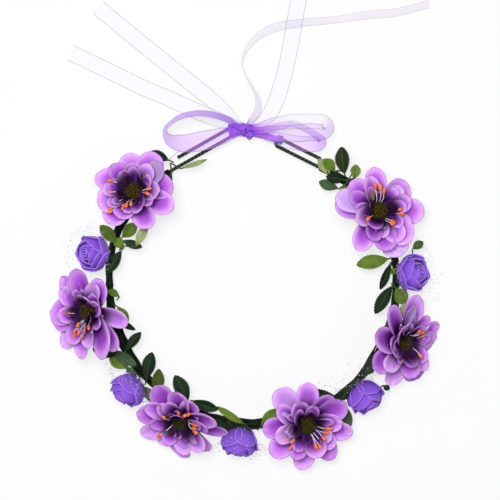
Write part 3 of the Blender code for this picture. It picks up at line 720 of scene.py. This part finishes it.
def addButton(node, place, spec, rng):
    sheets = Sheets()
    wide, seat, rise = button["radius"], button["seat"], button["top"] - button["seat"]

    def onDome(a, b):
        local = polar(b, sin(a) * wide, seat + rise * 0.5 * (1 - cos(a) * 1.05))
        bulge = 1 + 0.07 * noise.noise(local * 0.9 + Vector((spec["seed"], 0, 0)))
        return place @ (Vector((local.x * bulge, local.y * bulge, local.z)) * mm)

    dome = [[onDome(a, b) for b in roundAngles(24)] for a in poleToPole(12)]
    sheets.grid(dome, wrap=True, capped=True, along=0.0)
    # flock: short tapered fibres standing on the dome
    for i in range(button["fibres"]):
        a = acos(1 - 1.15 * (i + 0.5) / button["fibres"])
        out = polar(i * goldenAngle, sin(a), cos(a))
        foot = Vector((out.x * wide, out.y * wide, seat + rise * 0.5 * (1 + out.z * 1.05))) * 0.985
        lean = (out + Vector([rng.uniform(-0.35, 0.35) for _ in range(3)])).normalized()
        tip = foot + lean * button["fibreLength"] * rng.uniform(0.6, 1.2)
        across = lean.orthogonal().normalized() * 0.13
        around = lean.cross(across)
        ring = [place @ ((foot + across * cos(t) + around * sin(t)) * mm) for t in (0, 2.1, 4.2)]
        point = place @ (tip * mm + across * mm * 0.02)
        sheets.grid([ring, [point] * 3], wrap=True, along=[[0.2] * 3, [1.0] * 3])
    # the stem goes down through the whorls to the ring
    azimuth = spec["azimuth"]
    stem = [place @ Vector((0, 0, h * mm)) for h in (4, 2, 0, -1.5)]
    stem.append(onRing(azimuth, ringRadius / mm + 1.2, ringHeight / mm + 1.6))
    addTube(sheets, stem, button["stem"], 7, along=0.0)
    sheets.make(node, finishes["button"], body=halfOf(azimuth), stands=(node,), slot="button_flock")


def addStamens(name, place, spec, rng):
    sheets = Sheets()
    axis = (place.to_3x3() @ Vector((0, 0, 1))).normalized()
    centre = place @ Vector((0, 0, button["top"] * 0.75 * mm))
    for direction, distance in spec["stamens"]:
        across = polar(radians(direction), distance) * mm
        across.z = (rng.uniform(*stamenLook["height"]) * mm - across.dot(axis)) / axis.z
        tip = centre + across
        flat = (across - axis * across.dot(axis)).normalized()
        foot = centre + flat * stamenLook["footOut"] * mm - axis * stamenLook["footDown"] * mm
        middle = (foot + tip) / 2 + axis * rng.uniform(*stamenLook["arch"]) * mm
        middle += flat.cross(axis) * rng.uniform(-stamenLook["sway"], stamenLook["sway"]) * mm
        route = smoothRoute([foot, middle, tip], 1.2)
        addTube(sheets, route, stamenLook["thread"], 6, tip=0.0)
        heading = (route[-1] - route[-3]).normalized()
        tilt = Vector([rng.uniform(-stamenLook["tipTilt"], stamenLook["tipTilt"]) for _ in range(3)])
        heading = (heading + flat * 0.5 + tilt).normalized()
        long, wide = rng.uniform(*stamenLook["tipLength"]), rng.uniform(*stamenLook["tipRadius"])
        addPod(sheets, tip - heading * 0.6 * mm, heading, long, wide, tip=1.0)
    sheets.make(name, finishes["stamen"], body=halfOf(spec["azimuth"]), slot="button_flock")


def buildFlower(name, spec):
    rng = random.Random(spec["seed"])
    middle = onRing(spec["azimuth"], spec["radius"])
    toButton = leaning(Vector(), spec["azimuth"], spec["lean"]) @ Vector((0, 0, button["top"] * mm))
    base = middle - Vector((toButton.x, toButton.y, 0))
    base.z = spec["seat"] * mm
    place = leaning(base, spec["azimuth"], spec["lean"], spec["turn"])
    for part, layers in whorls.items():
        sheets = Sheets()
        for whorl, heading, length, width, rise, tone, foot, height in spec["odd"]:
            if whorl == part:
                shape = {"length": length, "width": width, "rise": rise, "foot": foot, "height": height,
                         "cup": oddCup}
                turn = heading - spec["turn"] - spec["azimuth"]
                addPetal(sheets, place, turn, shape, random.Random(spec["seed"]), tone)
        for look in layers:
            shape = dict(look, length=look["length"] * spec["reach"])
            for i in range(look["count"]):
                azimuth = look["turn"] + 360 * i / look["count"] + rng.uniform(-8, 8)
                lifted = dict(shape, height=shape["height"] + 0.9 * (i % 2))
                tone = rng.uniform(0, 1)
                addPetal(sheets, place, azimuth, lifted, rng, tone)
        node = name + "_" + part + "_petals"
        sheets.make(node + "_silk", finishes[part], thick=petalThick, level=1, body=halfOf(spec["azimuth"]),
                    stands=(node,), slot=part + "_petal_silk")
    addButton(name + "_button", place, spec, rng)
    addStamens(name + "_stamens", place, spec, rng)


for name, spec in flowers.items():
    buildFlower(name, spec)
print("flowers made")


foamPetals = (
    {"count": 3, "ball": 5.4, "from": 118, "to": 26, "half": 72, "lip": 0.2, "start": 10},
    {"count": 3, "ball": 7.2, "from": 138, "to": 38, "half": 68, "lip": 0.35, "start": 70},
    {"count": 4, "ball": 9, "from": 155, "to": 52, "half": 58, "lip": 0.55, "start": 25},
    {"count": 5, "ball": 10.4, "from": 172, "to": 76, "half": 50, "lip": 0.9, "start": 0},
)
foam = {"thick": 0.85, "coreTurns": 2.6, "coreRadius": 4.4, "coreTop": 8.0}
# the net leaves the head at the angle in "leaves" from the way the rose looks, then flares out at "spread"
netCollar = {
    "flare": (7.5, 13.0), "spread": 28.0, "leaves": 92, "reach": 1.0, "backAngle": 168, "room": 1.0,
    "around": 96, "rows": 14, "dots": 130, "dotRadius": 0.34,
}


def addRolledCentre(sheets, place):
    steps, heights, rows = 60, [k / 8 for k in range(9)], []
    for i in range(steps + 1):
        t = i / steps
        a = 2 * pi * foam["coreTurns"] * t
        r = 0.7 + (foam["coreRadius"] - 0.7) * t
        tall = foam["coreTop"] + 2.6 - 0.5 * t + 0.35 * sin(a * 1.5)
        wides = [r * (0.75 + 0.25 * h) + 0.5 * max(h - 0.8, 0) / 0.2 * t for h in heights]
        rows.append([place @ (polar(a, wide, tall * h - 3.0) * mm) for wide, h in zip(wides, heights)])
    sheets.grid(rows, along=[[0.25 + 0.6 * h for h in heights]] * len(rows), rim=[heights] * len(rows))


def addFoamPetal(sheets, place, layer, n, rng):
    middle = layer["start"] + 360 * n / layer["count"] + rng.uniform(-7, 7)
    half = layer["half"] * rng.uniform(0.92, 1.08)
    top = layer["to"] + rng.uniform(-6, 6)
    us, rows, along, rims = evenly(10), [], [], []
    for i in range(11):
        v = i / 10
        q = max((v - 0.5) / 0.5, 0)
        wide = half * (0.45 + 0.55 * sin(pi / 2 * min(v / 0.5, 1))) * sqrt(max(1 - q ** 3.4, 0.02))
        theta = radians(layer["from"] + (top - layer["from"]) * v)
        row = []
        for u in us:
            rim = rimShare(u, q)
            ball = layer["ball"] + 0.45 * u + layer["lip"] * max(rim - 0.55, 0) ** 2 / 0.2
            ball += 0.35 * sin(3 * u + middle) * rim * rim
            point = polar(radians(middle + wide * u), sin(theta) * ball, cos(theta) * ball + 0.6)
            row.append(aboveFloor(place @ (point * mm), 0.9))
        rows.append(row)
        along.append([v] * len(us))
        rims.append([rimShare(u, q) for u in us])
    sheets.grid(rows, along=along, rim=rims)


def netPoint(place, collar, phase, flare, share, angle):
    # share 0 is the back of the head, 0.5 where the net leaves it, 1 the collar's edge
    onHead, beyond = min(share / 0.5, 1), max(share / 0.5 - 1, 0)
    theta = radians(collar["backAngle"] - (collar["backAngle"] - collar["leaves"]) * onHead)
    local = Vector((sin(theta), 0, cos(theta))) * (roseHead["radius"] + collar["room"])
    lift = radians(collar["spread"])
    local += Vector((cos(lift), 0, sin(lift))) * flare * collar["reach"] * beyond
    ruffle = 1.6 * share * sin(9 * angle + phase) + 0.8 * share * sin(17 * angle + 2 * phase)
    local += Vector((0.3 * ruffle, 0, ruffle))
    spin = Matrix.Rotation(angle, 3, "Z")
    return aboveFloor(clearOfTape(place @ ((spin @ local) * mm), 1.2), 0.8)


def buildNet(name, spec, place, rng):
    collar = dict(netCollar, **spec)
    phase, around, last = rng.uniform(0, 6), collar["around"], collar["rows"]
    low, high = collar["flare"]
    flares = [low + (high - low) * (0.5 + 0.5 * sin(3 * a + phase)) + rng.uniform(-1.2, 1.2)
              for a in roundAngles(around)]

    def at(share, a, further=0.0):
        return netPoint(place, collar, phase, flares[a], share, 2 * pi * a / around + further)

    net, dots = Sheets(), Sheets()
    net.grid([[at(i / last, a) for a in range(around)] for i in range(last + 1)], wrap=True,
             along=[[i / last] * around for i in range(last + 1)],
             side=[[a / around for a in range(around)]] * (last + 1))
    half = halfOf(spec["azimuth"])
    net.make(name + "_net", finishes["net"], body=half, stands=(name + "_net",), slot="net")
    for i in range(collar["dots"]):
        share = 0.12 + 0.86 * sqrt((i + 0.5) / collar["dots"])
        a = int((i * goldenShare % 1) * around)
        middle = at(share, a)
        one = (at(share + 0.02, a) - middle).normalized()
        out = one.cross(at(share, a, 0.03) - middle).normalized()
        two = out.cross(one)
        size = collar["dotRadius"] * rng.uniform(0.75, 1.2) * mm
        ring = [(one * cos(t) + two * sin(t)) * size for t in roundAngles(8)]
        dots.grid([[middle + edge * wide + out * lift * mm for edge in ring]
                   for lift, wide in ((0.0, 1.0), (0.10, 0.95), (0.16, 0.5))], wrap=True, capped=True)
    dots.make(name + "_net_dots", finishes["dot"], body=half, slot="net")


def buildRose(name, spec):
    rng = random.Random(len(name) * 7 + int(spec["azimuth"]))
    middle = onRing(spec["azimuth"], spec["radius"], roseHead["height"])
    place = leaning(middle, spec["face"], spec["lean"], spec["turn"])
    sheets = Sheets()
    addRolledCentre(sheets, place)
    for layer in foamPetals:    # cupped petals laid round it like shingles
        for n in range(layer["count"]):
            addFoamPetal(sheets, place, layer, n, rng)
    sheets.make(name + "_foam", finishes["foam"], thick=foam["thick"], level=1, body=halfOf(spec["azimuth"]),
                stands=(name + "_head",), slot="rose_foam")
    buildNet(name, spec, place, rng)


for name, spec in roses.items():
    buildRose(name, spec)
print("roses made")


# how light and how grey each kind of leaf is
leafKinds = {"dark": (0.0, 0.0), "green": (0.26, 0.0), "olive": (0.5, 0.0), "light": (0.9, 0.1),
             "grey": (0.3, 0.75)}
leafLook = {"thick": 0.18, "teeth": 12, "toothDepth": 0.085, "stalk": 0.38, "farOut": 8.5, "room": 0.9,
            "overTape": 1.7, "size": 1.12}
# each leaf: azimuth and radius of its foot, heading, length, width, kind
sprigs = {
    "leaves_back_right_outer": (
        (49, 86, 98, 15, 7.2, "dark"), (45, 88, 81, 8, 5, "olive"), (54, 80, 118, 11, 5.6, "light"),
        (53, 84, 132, 9, 5.6, "olive"), (47, 84, 164, 11, 5.6, "dark")),
    "leaves_back_right_inner": (
        (47, 77, 158, 11, 5.6, "grey"), (46, 82, 257, 12, 5.6, "olive")),
    "leaves_right_inner": (
        (9, 85, 197, 18, 7.4, "olive"), (7, 85, 244, 15, 4.3, "dark"), (15, 83, 311, 6, 4.3, "dark"),
        (11, 100, 38, 7, 4.3, "green")),
    "leaves_right_lower": (
        (358, 86, 240, 18, 6.2, "dark"), (357, 88, 305, 10, 7.4, "green"), (352, 95, 249, 9, 5, "light"),
        (350, 90, 243, 12, 5, "dark"), (342, 87, 246, 12, 5, "dark"), (5, 85, 297, 4, 3.7, "olive")),
    "leaves_front_right_inner": (
        (329, 90, 227, 14, 6.2, "dark"), (306, 93, 287, 14, 5.6, "grey"), (315, 89, 231, 13, 5.6, "dark"),
        (321, 103, 333, 4, 3.1, "dark")),
    "leaves_front_right": ((306, 90, 171, 19, 5.3, "dark"),),
    "leaves_front_inner": ((273, 90, 49, 13, 5.6, "olive"),),
    "leaves_front": (
        (267, 89, 150, 18, 3.7, "olive"), (262, 95, 151, 14, 5.6, "dark"), (268, 98, 143, 15, 6.2, "dark")),
    "leaves_front_left_inner": ((242, 85, 114, 16, 7.4, "dark"), (243, 83, 340, 15, 5.6, "dark")),
    "leaves_left_front": (
        (223, 90, 78, 15, 7.1, "dark"), (230, 92, 87, 14, 6.2, "green"), (222, 96, 321, 18, 5.6, "grey"),
        (228, 87, 295, 13, 5.6, "grey")),
    "leaves_left_lower": (
        (209, 90, 50, 13, 5, "dark"), (209, 95, 167, 14, 6.2, "dark"), (206, 97, 323, 16, 5.6, "grey"),
        (215, 95, 146, 11, 5.6, "olive"), (214, 94, 300, 14, 5.6, "grey")),
    "leaves_left_inner": (
        (187, 83, 146, 7, 3.7, "olive"), (191, 85, 308, 10, 5, "olive"), (196, 88, 328, 12, 3.1, "dark")),
    "leaves_left_upper": (
        (165, 87, 127, 13, 6.2, "green"), (162, 85, 41, 11, 6.2, "green"), (163, 84, 337, 11, 4.3, "dark"),
        (164, 75, 61, 13, 5, "light"), (166, 82, 132, 7, 5, "olive"), (167, 83, 242, 15, 5.6, "dark")),
    "leaves_back_left": (
        (125, 90, 156, 11, 5, "dark"), (127, 83, 243, 14, 5.6, "dark"), (123, 82, 19, 15, 2.5, "light")),
}


def addLeaf(sheets, foot, heading, length, width, kind, rng):
    tone, grey = leafKinds[kind]
    tone = min(max(tone + rng.uniform(-0.05, 0.08), 0), 1)
    rise, droop = radians(rng.uniform(4, 20)), radians(rng.uniform(10, 30))
    roll, fold = radians(rng.uniform(-24, 24)), rng.uniform(0.08, 0.26)
    bend = rng.uniform(-0.08, 0.08)
    spin = Matrix.Rotation(radians(heading), 3, "Z") @ Matrix.Rotation(roll, 3, "X")
    us, steps, rows = evenly(8), leafLook["teeth"] * 2, []
    reach = drop = 0.0
    for i in range(steps + 1):
        v = i / steps
        angle = rise - droop * v
        reach += cos(angle) * length / steps
        drop += sin(angle) * length / steps
        wide = width * 0.60 * sin(pi * min(v, 0.999) ** 1.12) ** 0.72 + 0.12
        notch = leafLook["toothDepth"] * (i % 2)
        row = []
        for u in us:
            tooth = 1 - 2 * notch * abs(u) ** 6 * (0.1 < v < 0.95)
            local = Vector((reach - 1.4 * abs(u) * notch, u * wide * tooth + bend * length * v * v,
                            drop + fold * abs(u) * wide))
            row.append(giveWay(foot + spin @ (local * mm), leafLook["room"], leafLook["overTape"]))
        rows.append(row)
    along = [[i / steps] * len(us) for i in range(steps + 1)]
    sheets.grid(rows, along=along, side=[us] * len(rows), tone=tone, grey=grey)


def buildSprig(name, leaves):
    rng = random.Random(sum(map(ord, name)))
    sheets = Sheets()
    for azimuth, radius, heading, length, width, kind in leaves:
        outside = 1 if radius * mm > ringRadius else -1
        foot = onRing(azimuth, radius, ringHeight / mm + rng.uniform(2.6, 5.0))
        addLeaf(sheets, foot, heading, length * leafLook["size"], width * leafLook["size"], kind, rng)
        # stalk from under the tape to the leaf
        away = polar(radians(heading), 1, 0.1) * mm
        root = onRing(azimuth, ringRadius / mm + outside * 1.6, ringHeight / mm + 0.6) - away * 3
        if radius - ringRadius / mm > leafLook["farOut"]:    # this one grows from under the nearest rose
            root = min(roseCentres, key=lambda centre: (centre - foot).length) - Vector((0, 0, 5 * mm))
        route = smoothRoute([root, (root + foot) / 2 + Vector((0, 0, 0.5 * mm)), foot, foot + away * 3], 1.0)
        addTube(sheets, route, leafLook["stalk"], 7, along=0.3, side=0.0, tone=0.12, grey=0.0)
    sheets.make(name + "_silk", finishes["leaf"], thick=leafLook["thick"], body=halfOf(leaves[0][0]),
                stands=(name,), slot="leaf_silk")


for name, leaves in sprigs.items():
    buildSprig(name, leaves)
print("leaves made")


wire = {"radius": 1.1, "eyeSpacing": 5.0, "step": 0.8, "sides": 12, "ply": 0.045, "plyTurn": 5.2}
legs = {
    "left": {"ringEnd": 143, "start": (-51.5, 67), "heading": 29.6, "length": 42.5, "back": 34, "mirror": 1},
    "right": {"ringEnd": 38, "start": (41.4, 69.4), "heading": 153.4, "length": 29, "back": 27, "mirror": -1},
}
wrap = {"radius": 1.95, "ridge": 0.3, "lumps": 0.55, "pitch": 6.0, "step": 1.3, "sides": 14, "stems": 4,
        "stemRadius": 0.75, "bendReach": 38}


def legRoute(leg):
    ahead = polar(radians(leg["heading"]), 1) * mm
    across = Vector((-ahead.y, ahead.x, 0)) * leg["mirror"]
    foot = inPlan(*leg["start"], ringHeight / mm)
    turn = foot + ahead * leg["length"] + across * wire["eyeSpacing"] / 2
    route = [foot - ahead * 9, foot, foot + ahead * leg["length"] * 0.5]
    for i in range(13):
        a = pi * (i / 12 - 0.5)
        route.append(turn + (across * sin(a) + ahead * cos(a)) * wire["eyeSpacing"] / 2)
    route.append(route[-1] - ahead * leg["back"] * 0.5)
    route.append(route[-2] - ahead * leg["back"])
    return smoothRoute(route, wire["step"])


def buildLegs():
    def ply(i, a):
        return sin(i * wire["step"] * wire["plyTurn"] + a * 2)

    for name, leg in legs.items():
        route = legRoute(leg)
        sheets = Sheets()
        marks = [[0.5 + 0.5 * ply(i, a) for a in roundAngles(wire["sides"])] for i in range(len(route))]
        addTube(sheets, route, lambda i, a: wire["radius"] + wire["ply"] * ply(i, a), wire["sides"],
                lap=marks)
        sheets.make("wire_eye_" + name, finishes["wire"], body=name + "_half", stands=("frame_wire_" + name,),
                    slot="wire")


def buildTape():
    rng = random.Random(5)
    start, stop = legs["left"]["ringEnd"], legs["right"]["ringEnd"] + 360
    route = [inPlan(*legs["left"]["start"], ringHeight / mm)]
    route += [onRing(start + (stop - start) * i / 48, ringRadius / mm, ringHeight / mm) for i in range(49)]
    route += [inPlan(*legs["right"]["start"], ringHeight / mm)]
    step, sides = wrap["step"], wrap["sides"]
    route = smoothRoute(route, step)

    def lapped(i, a):
        turn = (i * step / wrap["pitch"] + a / (2 * pi)) % 1
        lump = noise.noise(Vector((i * step * 0.11, cos(a) * 0.5, sin(a) * 0.5)))
        return wrap["radius"] + wrap["ridge"] * turn ** 3 + wrap["lumps"] * lump

    sheets = Sheets()
    marks = [[(i * step / wrap["pitch"] + k / sides) % 1 for k in range(sides)] for i in range(len(route))]
    addTube(sheets, route, lapped, sides, lap=marks)
    # stems of the sprays, bound in beside the wire
    for s in range(wrap["stems"]):
        phase, height = rng.uniform(0, 6), rng.uniform(0.6, 2.6)
        stem = []
        for i in range(4, len(route) - 4, 3):
            out = route[i] - ringCentre
            out.z = 0
            out.normalize()
            sway = sin(i * 0.045 + phase) * 2.3 + sin(i * 0.13 + phase * 2) * 0.7
            stem.append(route[i] + out * sway * mm + Vector((0, 0, (height - abs(sway) * 0.25) * mm)))
        stem = smoothRoute(stem, 1.6)
        addTube(sheets, stem, lambda i, a: wrap["stemRadius"] * (1 + 0.25 * sin(i * 0.7)), lap=0.3)
    tape = sheets.make("bound-ring", finishes["tape"], stands=("binding_tape_left", "binding_tape_right"),
                       slot="tape")
    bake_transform(tape)


buildLegs()
buildTape()
print("ring made")


ribbon = {"width": 10.0, "pleats": 3.5, "across": 16}
# each strip runs through points (x, y, height, bank, share of the full width, cover)
strips = {
    "tail-upper-left": {"stands": ("ribbon_tail_upper_left",), "held": "laid", "points": (
        (-6, 93.4, 6.6, 12, 0.4, 0.5), (-9.6, 96.6, 5.3, 12, 0.6, 0.16), (-19.2, 106, 4.9, 6, 0.9, 0.09),
        (-31.9, 116.6, 3.6, 0, 1, 0.07), (-47, 128.8, 1.4, 0, 1, 0.07), (-62.6, 141.4, 0.3, 0, 1, 0.07),
        (-79.5, 155.2, 0.3, 0, 1, 0.065), (-96.1, 169, 0.3, 0, 1, 0.06))},
    "tail-lower-left": {"stands": ("ribbon_tail_lower_left",), "held": "laid", "points": (
        (-6.4, 92.8, 5, 10, 0.4, 0.5), (-9.8, 95.4, 3.6, 10, 0.6, 0.16), (-23.6, 100, 2.6, 4, 0.95, 0.09),
        (-38.4, 106.2, 1.2, 0, 1, 0.07), (-52, 112.4, 0.3, 0, 1, 0.07), (-65.7, 118.1, 0.3, 0, 1, 0.07),
        (-89.5, 129.6, 0.3, 0, 1, 0.065), (-113.2, 141, 0.3, 0, 1, 0.06))},
    "tail-back": {"stands": ("ribbon_tail_back",), "held": "laid", "points": (
        (-1.8, 93, 3.4, 0, 0.4, 0.4), (3.6, 96.8, 1.4, 0, 0.7, 0.14), (10.6, 103.5, 0.6, 0, 0.95, 0.09),
        (16.2, 116.5, 0.3, 0, 1, 0.08), (22, 138.9, 0.3, 0, 1, 0.08), (28.2, 173.6, 0.3, 0, 1, 0.08),
        (36.2, 218.4, 0.3, 0, 1, 0.08))},
    "tail-curly": {"stands": ("ribbon_tail_curly",), "held": "laid", "points": (
        (-3.6, 93.6, 8.4, 40, 0.4, 0.7), (-1, 98.2, 7, 60, 0.8, 0.34), (3, 104.6, 6.4, 68, 1, 0.26),
        (3, 112.4, 5.8, 72, 1, 0.24), (-1, 120.4, 5.4, 78, 1, 0.24), (-5.2, 128.3, 5.2, 82, 1, 0.24),
        (-6.6, 135, 5.2, 82, 1, 0.24), (-4.1, 142.3, 5.1, 76, 1, 0.19), (3.1, 150.4, 5.2, 70, 1, 0.17),
        (14.3, 156, 5.9, 66, 1, 0.17), (31.6, 158.9, 5.9, 66, 1, 0.19), (49, 160.6, 4.8, 68, 1, 0.15),
        (70.1, 163.7, 4.7, 68, 1, 0.16), (88, 165.2, 4.7, 66, 1, 0.16), (109.1, 170.5, 4.7, 64, 1, 0.16))},
    "bow-loop-left": {"stands": ("bow_loop_left",), "held": "folded", "points": (
        (-6.4, 92.4, 9, 60, 0.5, 0.95), (-10.4, 95.4, 9.8, 60, 0.8, 0.86), (-17.5, 99.6, 13, 60, 0.95, 0.76),
        (-31, 102.4, 15, 62, 1, 0.70), (-44, 100.4, 14.6, 66, 1, 0.66), (-52.4, 94.8, 12.8, 74, 1, 0.66),
        (-53.4, 90.4, 11.6, 68, 1, 0.62), (-50, 86, 10.6, 40, 1, 0.50), (-42, 84.2, 9.8, 10, 1.1, 0.40),
        (-30, 86, 9.6, 0, 1.2, 0.34), (-19, 88.8, 9.7, 0, 1, 0.34), (-10.6, 91.4, 9.3, 0, 0.65, 0.6),
        (-6, 91.8, 8.8, 0, 0.45, 0.9))},
    "bow-loop-right": {"stands": ("bow_loop_right",), "held": "folded", "points": (
        (-2, 93.4, 9.2, -50, 0.5, 0.9), (1.5, 94.2, 9.8, -52, 0.7, 0.7), (10, 95.8, 12, -40, 0.9, 0.30),
        (24, 97.4, 13.4, -16, 0.95, 0.12), (37, 97.6, 13.6, -12, 0.95, 0.11), (43.6, 97, 13.2, -20, 1, 0.16),
        (46.4, 95.2, 12.4, -46, 1, 0.34), (46, 92.6, 11.6, -40, 1, 0.38), (42.6, 91.2, 11.2, -14, 1, 0.34),
        (34, 91, 11, 0, 1.1, 0.30), (22, 90.2, 10.9, 0, 1.05, 0.30), (9, 90.8, 10.8, 0, 0.8, 0.55),
        (1, 91.4, 9.6, 0, 0.5, 0.8), (-2, 91.6, 9.2, 0, 0.4, 0.9))},
    "bow-fold-right": {"stands": (), "held": "folded", "points": (
        (-1.4, 92.2, 9.4, -40, 0.4, 0.9), (6, 92.2, 11.2, -46, 0.7, 0.55), (16, 94.6, 12.4, -56, 0.9, 0.45),
        (25, 96, 12.4, -58, 0.9, 0.42), (35, 91.8, 11.8, -58, 0.9, 0.46), (41.6, 87.2, 11.2, -56, 0.9, 0.6),
        (42.2, 85.2, 11, -40, 0.9, 0.55), (38, 83.6, 10.9, -10, 0.95, 0.45), (27, 84.4, 10.8, 0, 0.9, 0.26),
        (14, 87.2, 10.8, 0, 0.75, 0.14), (5, 90, 10.6, 0, 0.45, 0.5), (-1.4, 91.2, 9.2, 0, 0.4, 0.9))},
}


def routeLength(route):
    return sum((b - a).length for a, b in zip(route, route[1:]))


def addStrip(sheets, points, seed):
    rows = throughPoints([(*inPlan(x, y, z), *rest) for x, y, z, *rest in points], 0.9)
    route = [Vector(row[:3]) for row in rows]
    us, grid = evenly(ribbon["across"]), []
    for i, (row, (tangent, side, up)) in enumerate(zip(rows, crossFrames(route))):
        bank, wide = row[3:5]
        turn = Matrix.Rotation(radians(bank), 3, tangent)
        side, up = turn @ side, turn @ up
        gather = 1 - softStep(0.5, 1.0, wide)
        line = []
        for u in us:
            fold = gather * 1.1 * sin(pi * ribbon["pleats"] * u + seed)
            wave = 0.22 * sin(i * 0.09 + 2.0 * u + seed) * (1 - gather)
            point = route[i] + side * (u * wide * ribbon["width"] / 2 * mm) + up * ((fold + wave) * mm)
            line.append(aboveFloor(point, 0.35))
        grid.append(line)
    sheets.grid(grid, side=[us] * len(rows), dense=[[row[5]] * len(us) for row in rows])
    return routeLength(route)


def buildRibbons():
    for seed, (name, strip) in enumerate(strips.items()):
        sheets = Sheets()
        length = addStrip(sheets, strip["points"], seed * 1.7)
        piece = sheets.make("ribbon-" + name, finishes["organza"], body="left_half", stands=strip["stands"],
                            slot="organza")


# crumpled windings of ribbon: middle, size, heading, number of creases, cover, body
windings = {
    "ribbon-knot": {"stands": ("bow_knot",), "body": "left_half", "parts": (
        {"centre": (-3.6, 92, 7.6), "size": (10.5, 7.6, 7.2), "heading": -22, "creases": 6, "cover": 0.985},
        {"centre": (-11.2, 92.6, 7.4), "size": (8.6, 8, 7), "heading": 12, "creases": 8, "cover": 0.86},
        {"centre": (0.4, 91.4, 8), "size": (5.6, 4.6, 4.8), "heading": -26, "creases": 5, "cover": 0.93})},
    "ribbon-eye-knot": {"stands": (), "body": "right_half", "parts": (
        {"centre": (16.6, 87, 6), "size": (4.6, 4.2, 4.4), "heading": -20, "creases": 5, "cover": 0.98},)},
}
strap = {"route": (
    (-3, 91.6, 8.6), (0.6, 90.9, 8.9), (8, 89.2, 9.2), (13.6, 87.4, 9.2), (17.2, 85.6, 7.4), (17, 85.2, 4.9),
    (14.4, 86.6, 3.6), (8, 88.6, 4), (0.6, 90.2, 5.6), (-3, 91.4, 6.4)), "width": 3.6}


def addWinding(sheets, part, seed):
    centre = inPlan(*part["centre"])
    turn = Matrix.Rotation(radians(part["heading"]), 3, "Z")
    size = Vector(part["size"]) / 2

    def crumpled(a, b):
        out = Vector((cos(a), sin(a) ** 0.7 * cos(b), sin(a) ** 0.7 * sin(b)))
        twist = part["creases"] * (b + 1.1 * sin(a * 1.7 + seed)) + 2.5 * cos(a)
        crease = 1 + 0.13 * sin(twist) * sin(a) + 0.26 * noise.noise(out * 1.7 + Vector((seed, 0, 0)))
        return aboveFloor(centre + turn @ (out * size * crease * mm))

    def onBand(n, b, u):
        fold = 0.30 * sin(u * 6 + n + seed) + 0.25 * sin(3 * b + n)
        spin = turn @ Matrix.Rotation(radians(22 * sin(seed + 2.1 * n)), 3, "Z")
        along = size.x * ((n - 1) * 0.55 + u * 0.34)
        local = Vector((along, cos(b) * (size.y + fold), sin(b) * (size.z + fold)))
        return aboveFloor(centre + spin @ (local * mm))

    rows = [[crumpled(a, b) for b in roundAngles(44)] for a in poleToPole(28)]
    sheets.grid(rows, wrap=True, capped=True, side=0.0, dense=part["cover"])
    us = evenly(8)
    for n in range(3):    # loose bands over the winding
        band = [[onBand(n, 2 * pi * i / 36, u) for u in us] for i in range(37)]
        sheets.grid(band, side=[[0.9 * u for u in us]] * len(band), dense=part["cover"] - 0.08)


def buildKnot():
    for seed, (name, winding) in enumerate(windings.items()):
        sheets = Sheets()
        for n, part in enumerate(winding["parts"]):
            addWinding(sheets, part, seed * 3.0 + n * 1.3)
        sheets.make(name, finishes["organza"], level=1, body=winding["body"], stands=winding["stands"],
                    slot="organza")


def buildStrap():
    # gathered ribbon through the right eye
    sheets = Sheets()
    route = smoothRoute([inPlan(*p) for p in strap["route"]], 0.7)
    us, grid = evenly(12), []
    for i, (here, (tangent, side, up)) in enumerate(zip(route, crossFrames(route))):
        line = []
        for u in us:
            fold = 0.55 * sin(8 * u + i * 0.05) + 0.25 * sin(19 * u - i * 0.08)
            line.append(here + side * (u * strap["width"] / 2 * mm) + up * fold * mm)
        grid.append(line)
    sheets.grid(grid, side=[[0.6 * u for u in us]] * len(grid), dense=0.86)
    piece = sheets.make("ribbon-strap", finishes["organza"], stands=("ribbon_strap",), slot="organza")
    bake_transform(piece)


buildKnot()
buildRibbons()
buildStrap()
print("bow made")


# cut thread ends
threadEnds = {
    "left": ((-52.5, 73.4, 8.5), (-49, 76.6, 10.2), (-45.3, 79.4, 10.8)),
    "right": ((79.6, -64.7, 7), (82.4, -66.6, 6.2), (84.3, -68.8, 4.6)),
}


def buildThreads():
    for name, points in threadEnds.items():
        sheets = Sheets()
        route = smoothRoute([inPlan(*p) for p in points], 0.5)
        marks = [[0.5 + 0.5 * sin(i * 2.1 + k) for k in range(6)] for i in range(len(route))]
        addTube(sheets, route, lambda i, a: 0.24 + 0.04 * sin(i * 2.1 + 2 * a), 6, lap=marks)
        sheets.make("thread-end-" + name, finishes["thread"], body=name + "_half", slot="tape")


buildThreads()
print("threads made")

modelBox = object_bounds()
for name, box in (("cad box", cadBox), ("model box", modelBox)):
    print(name, [[round(v, 4) for v in c] for c in box])
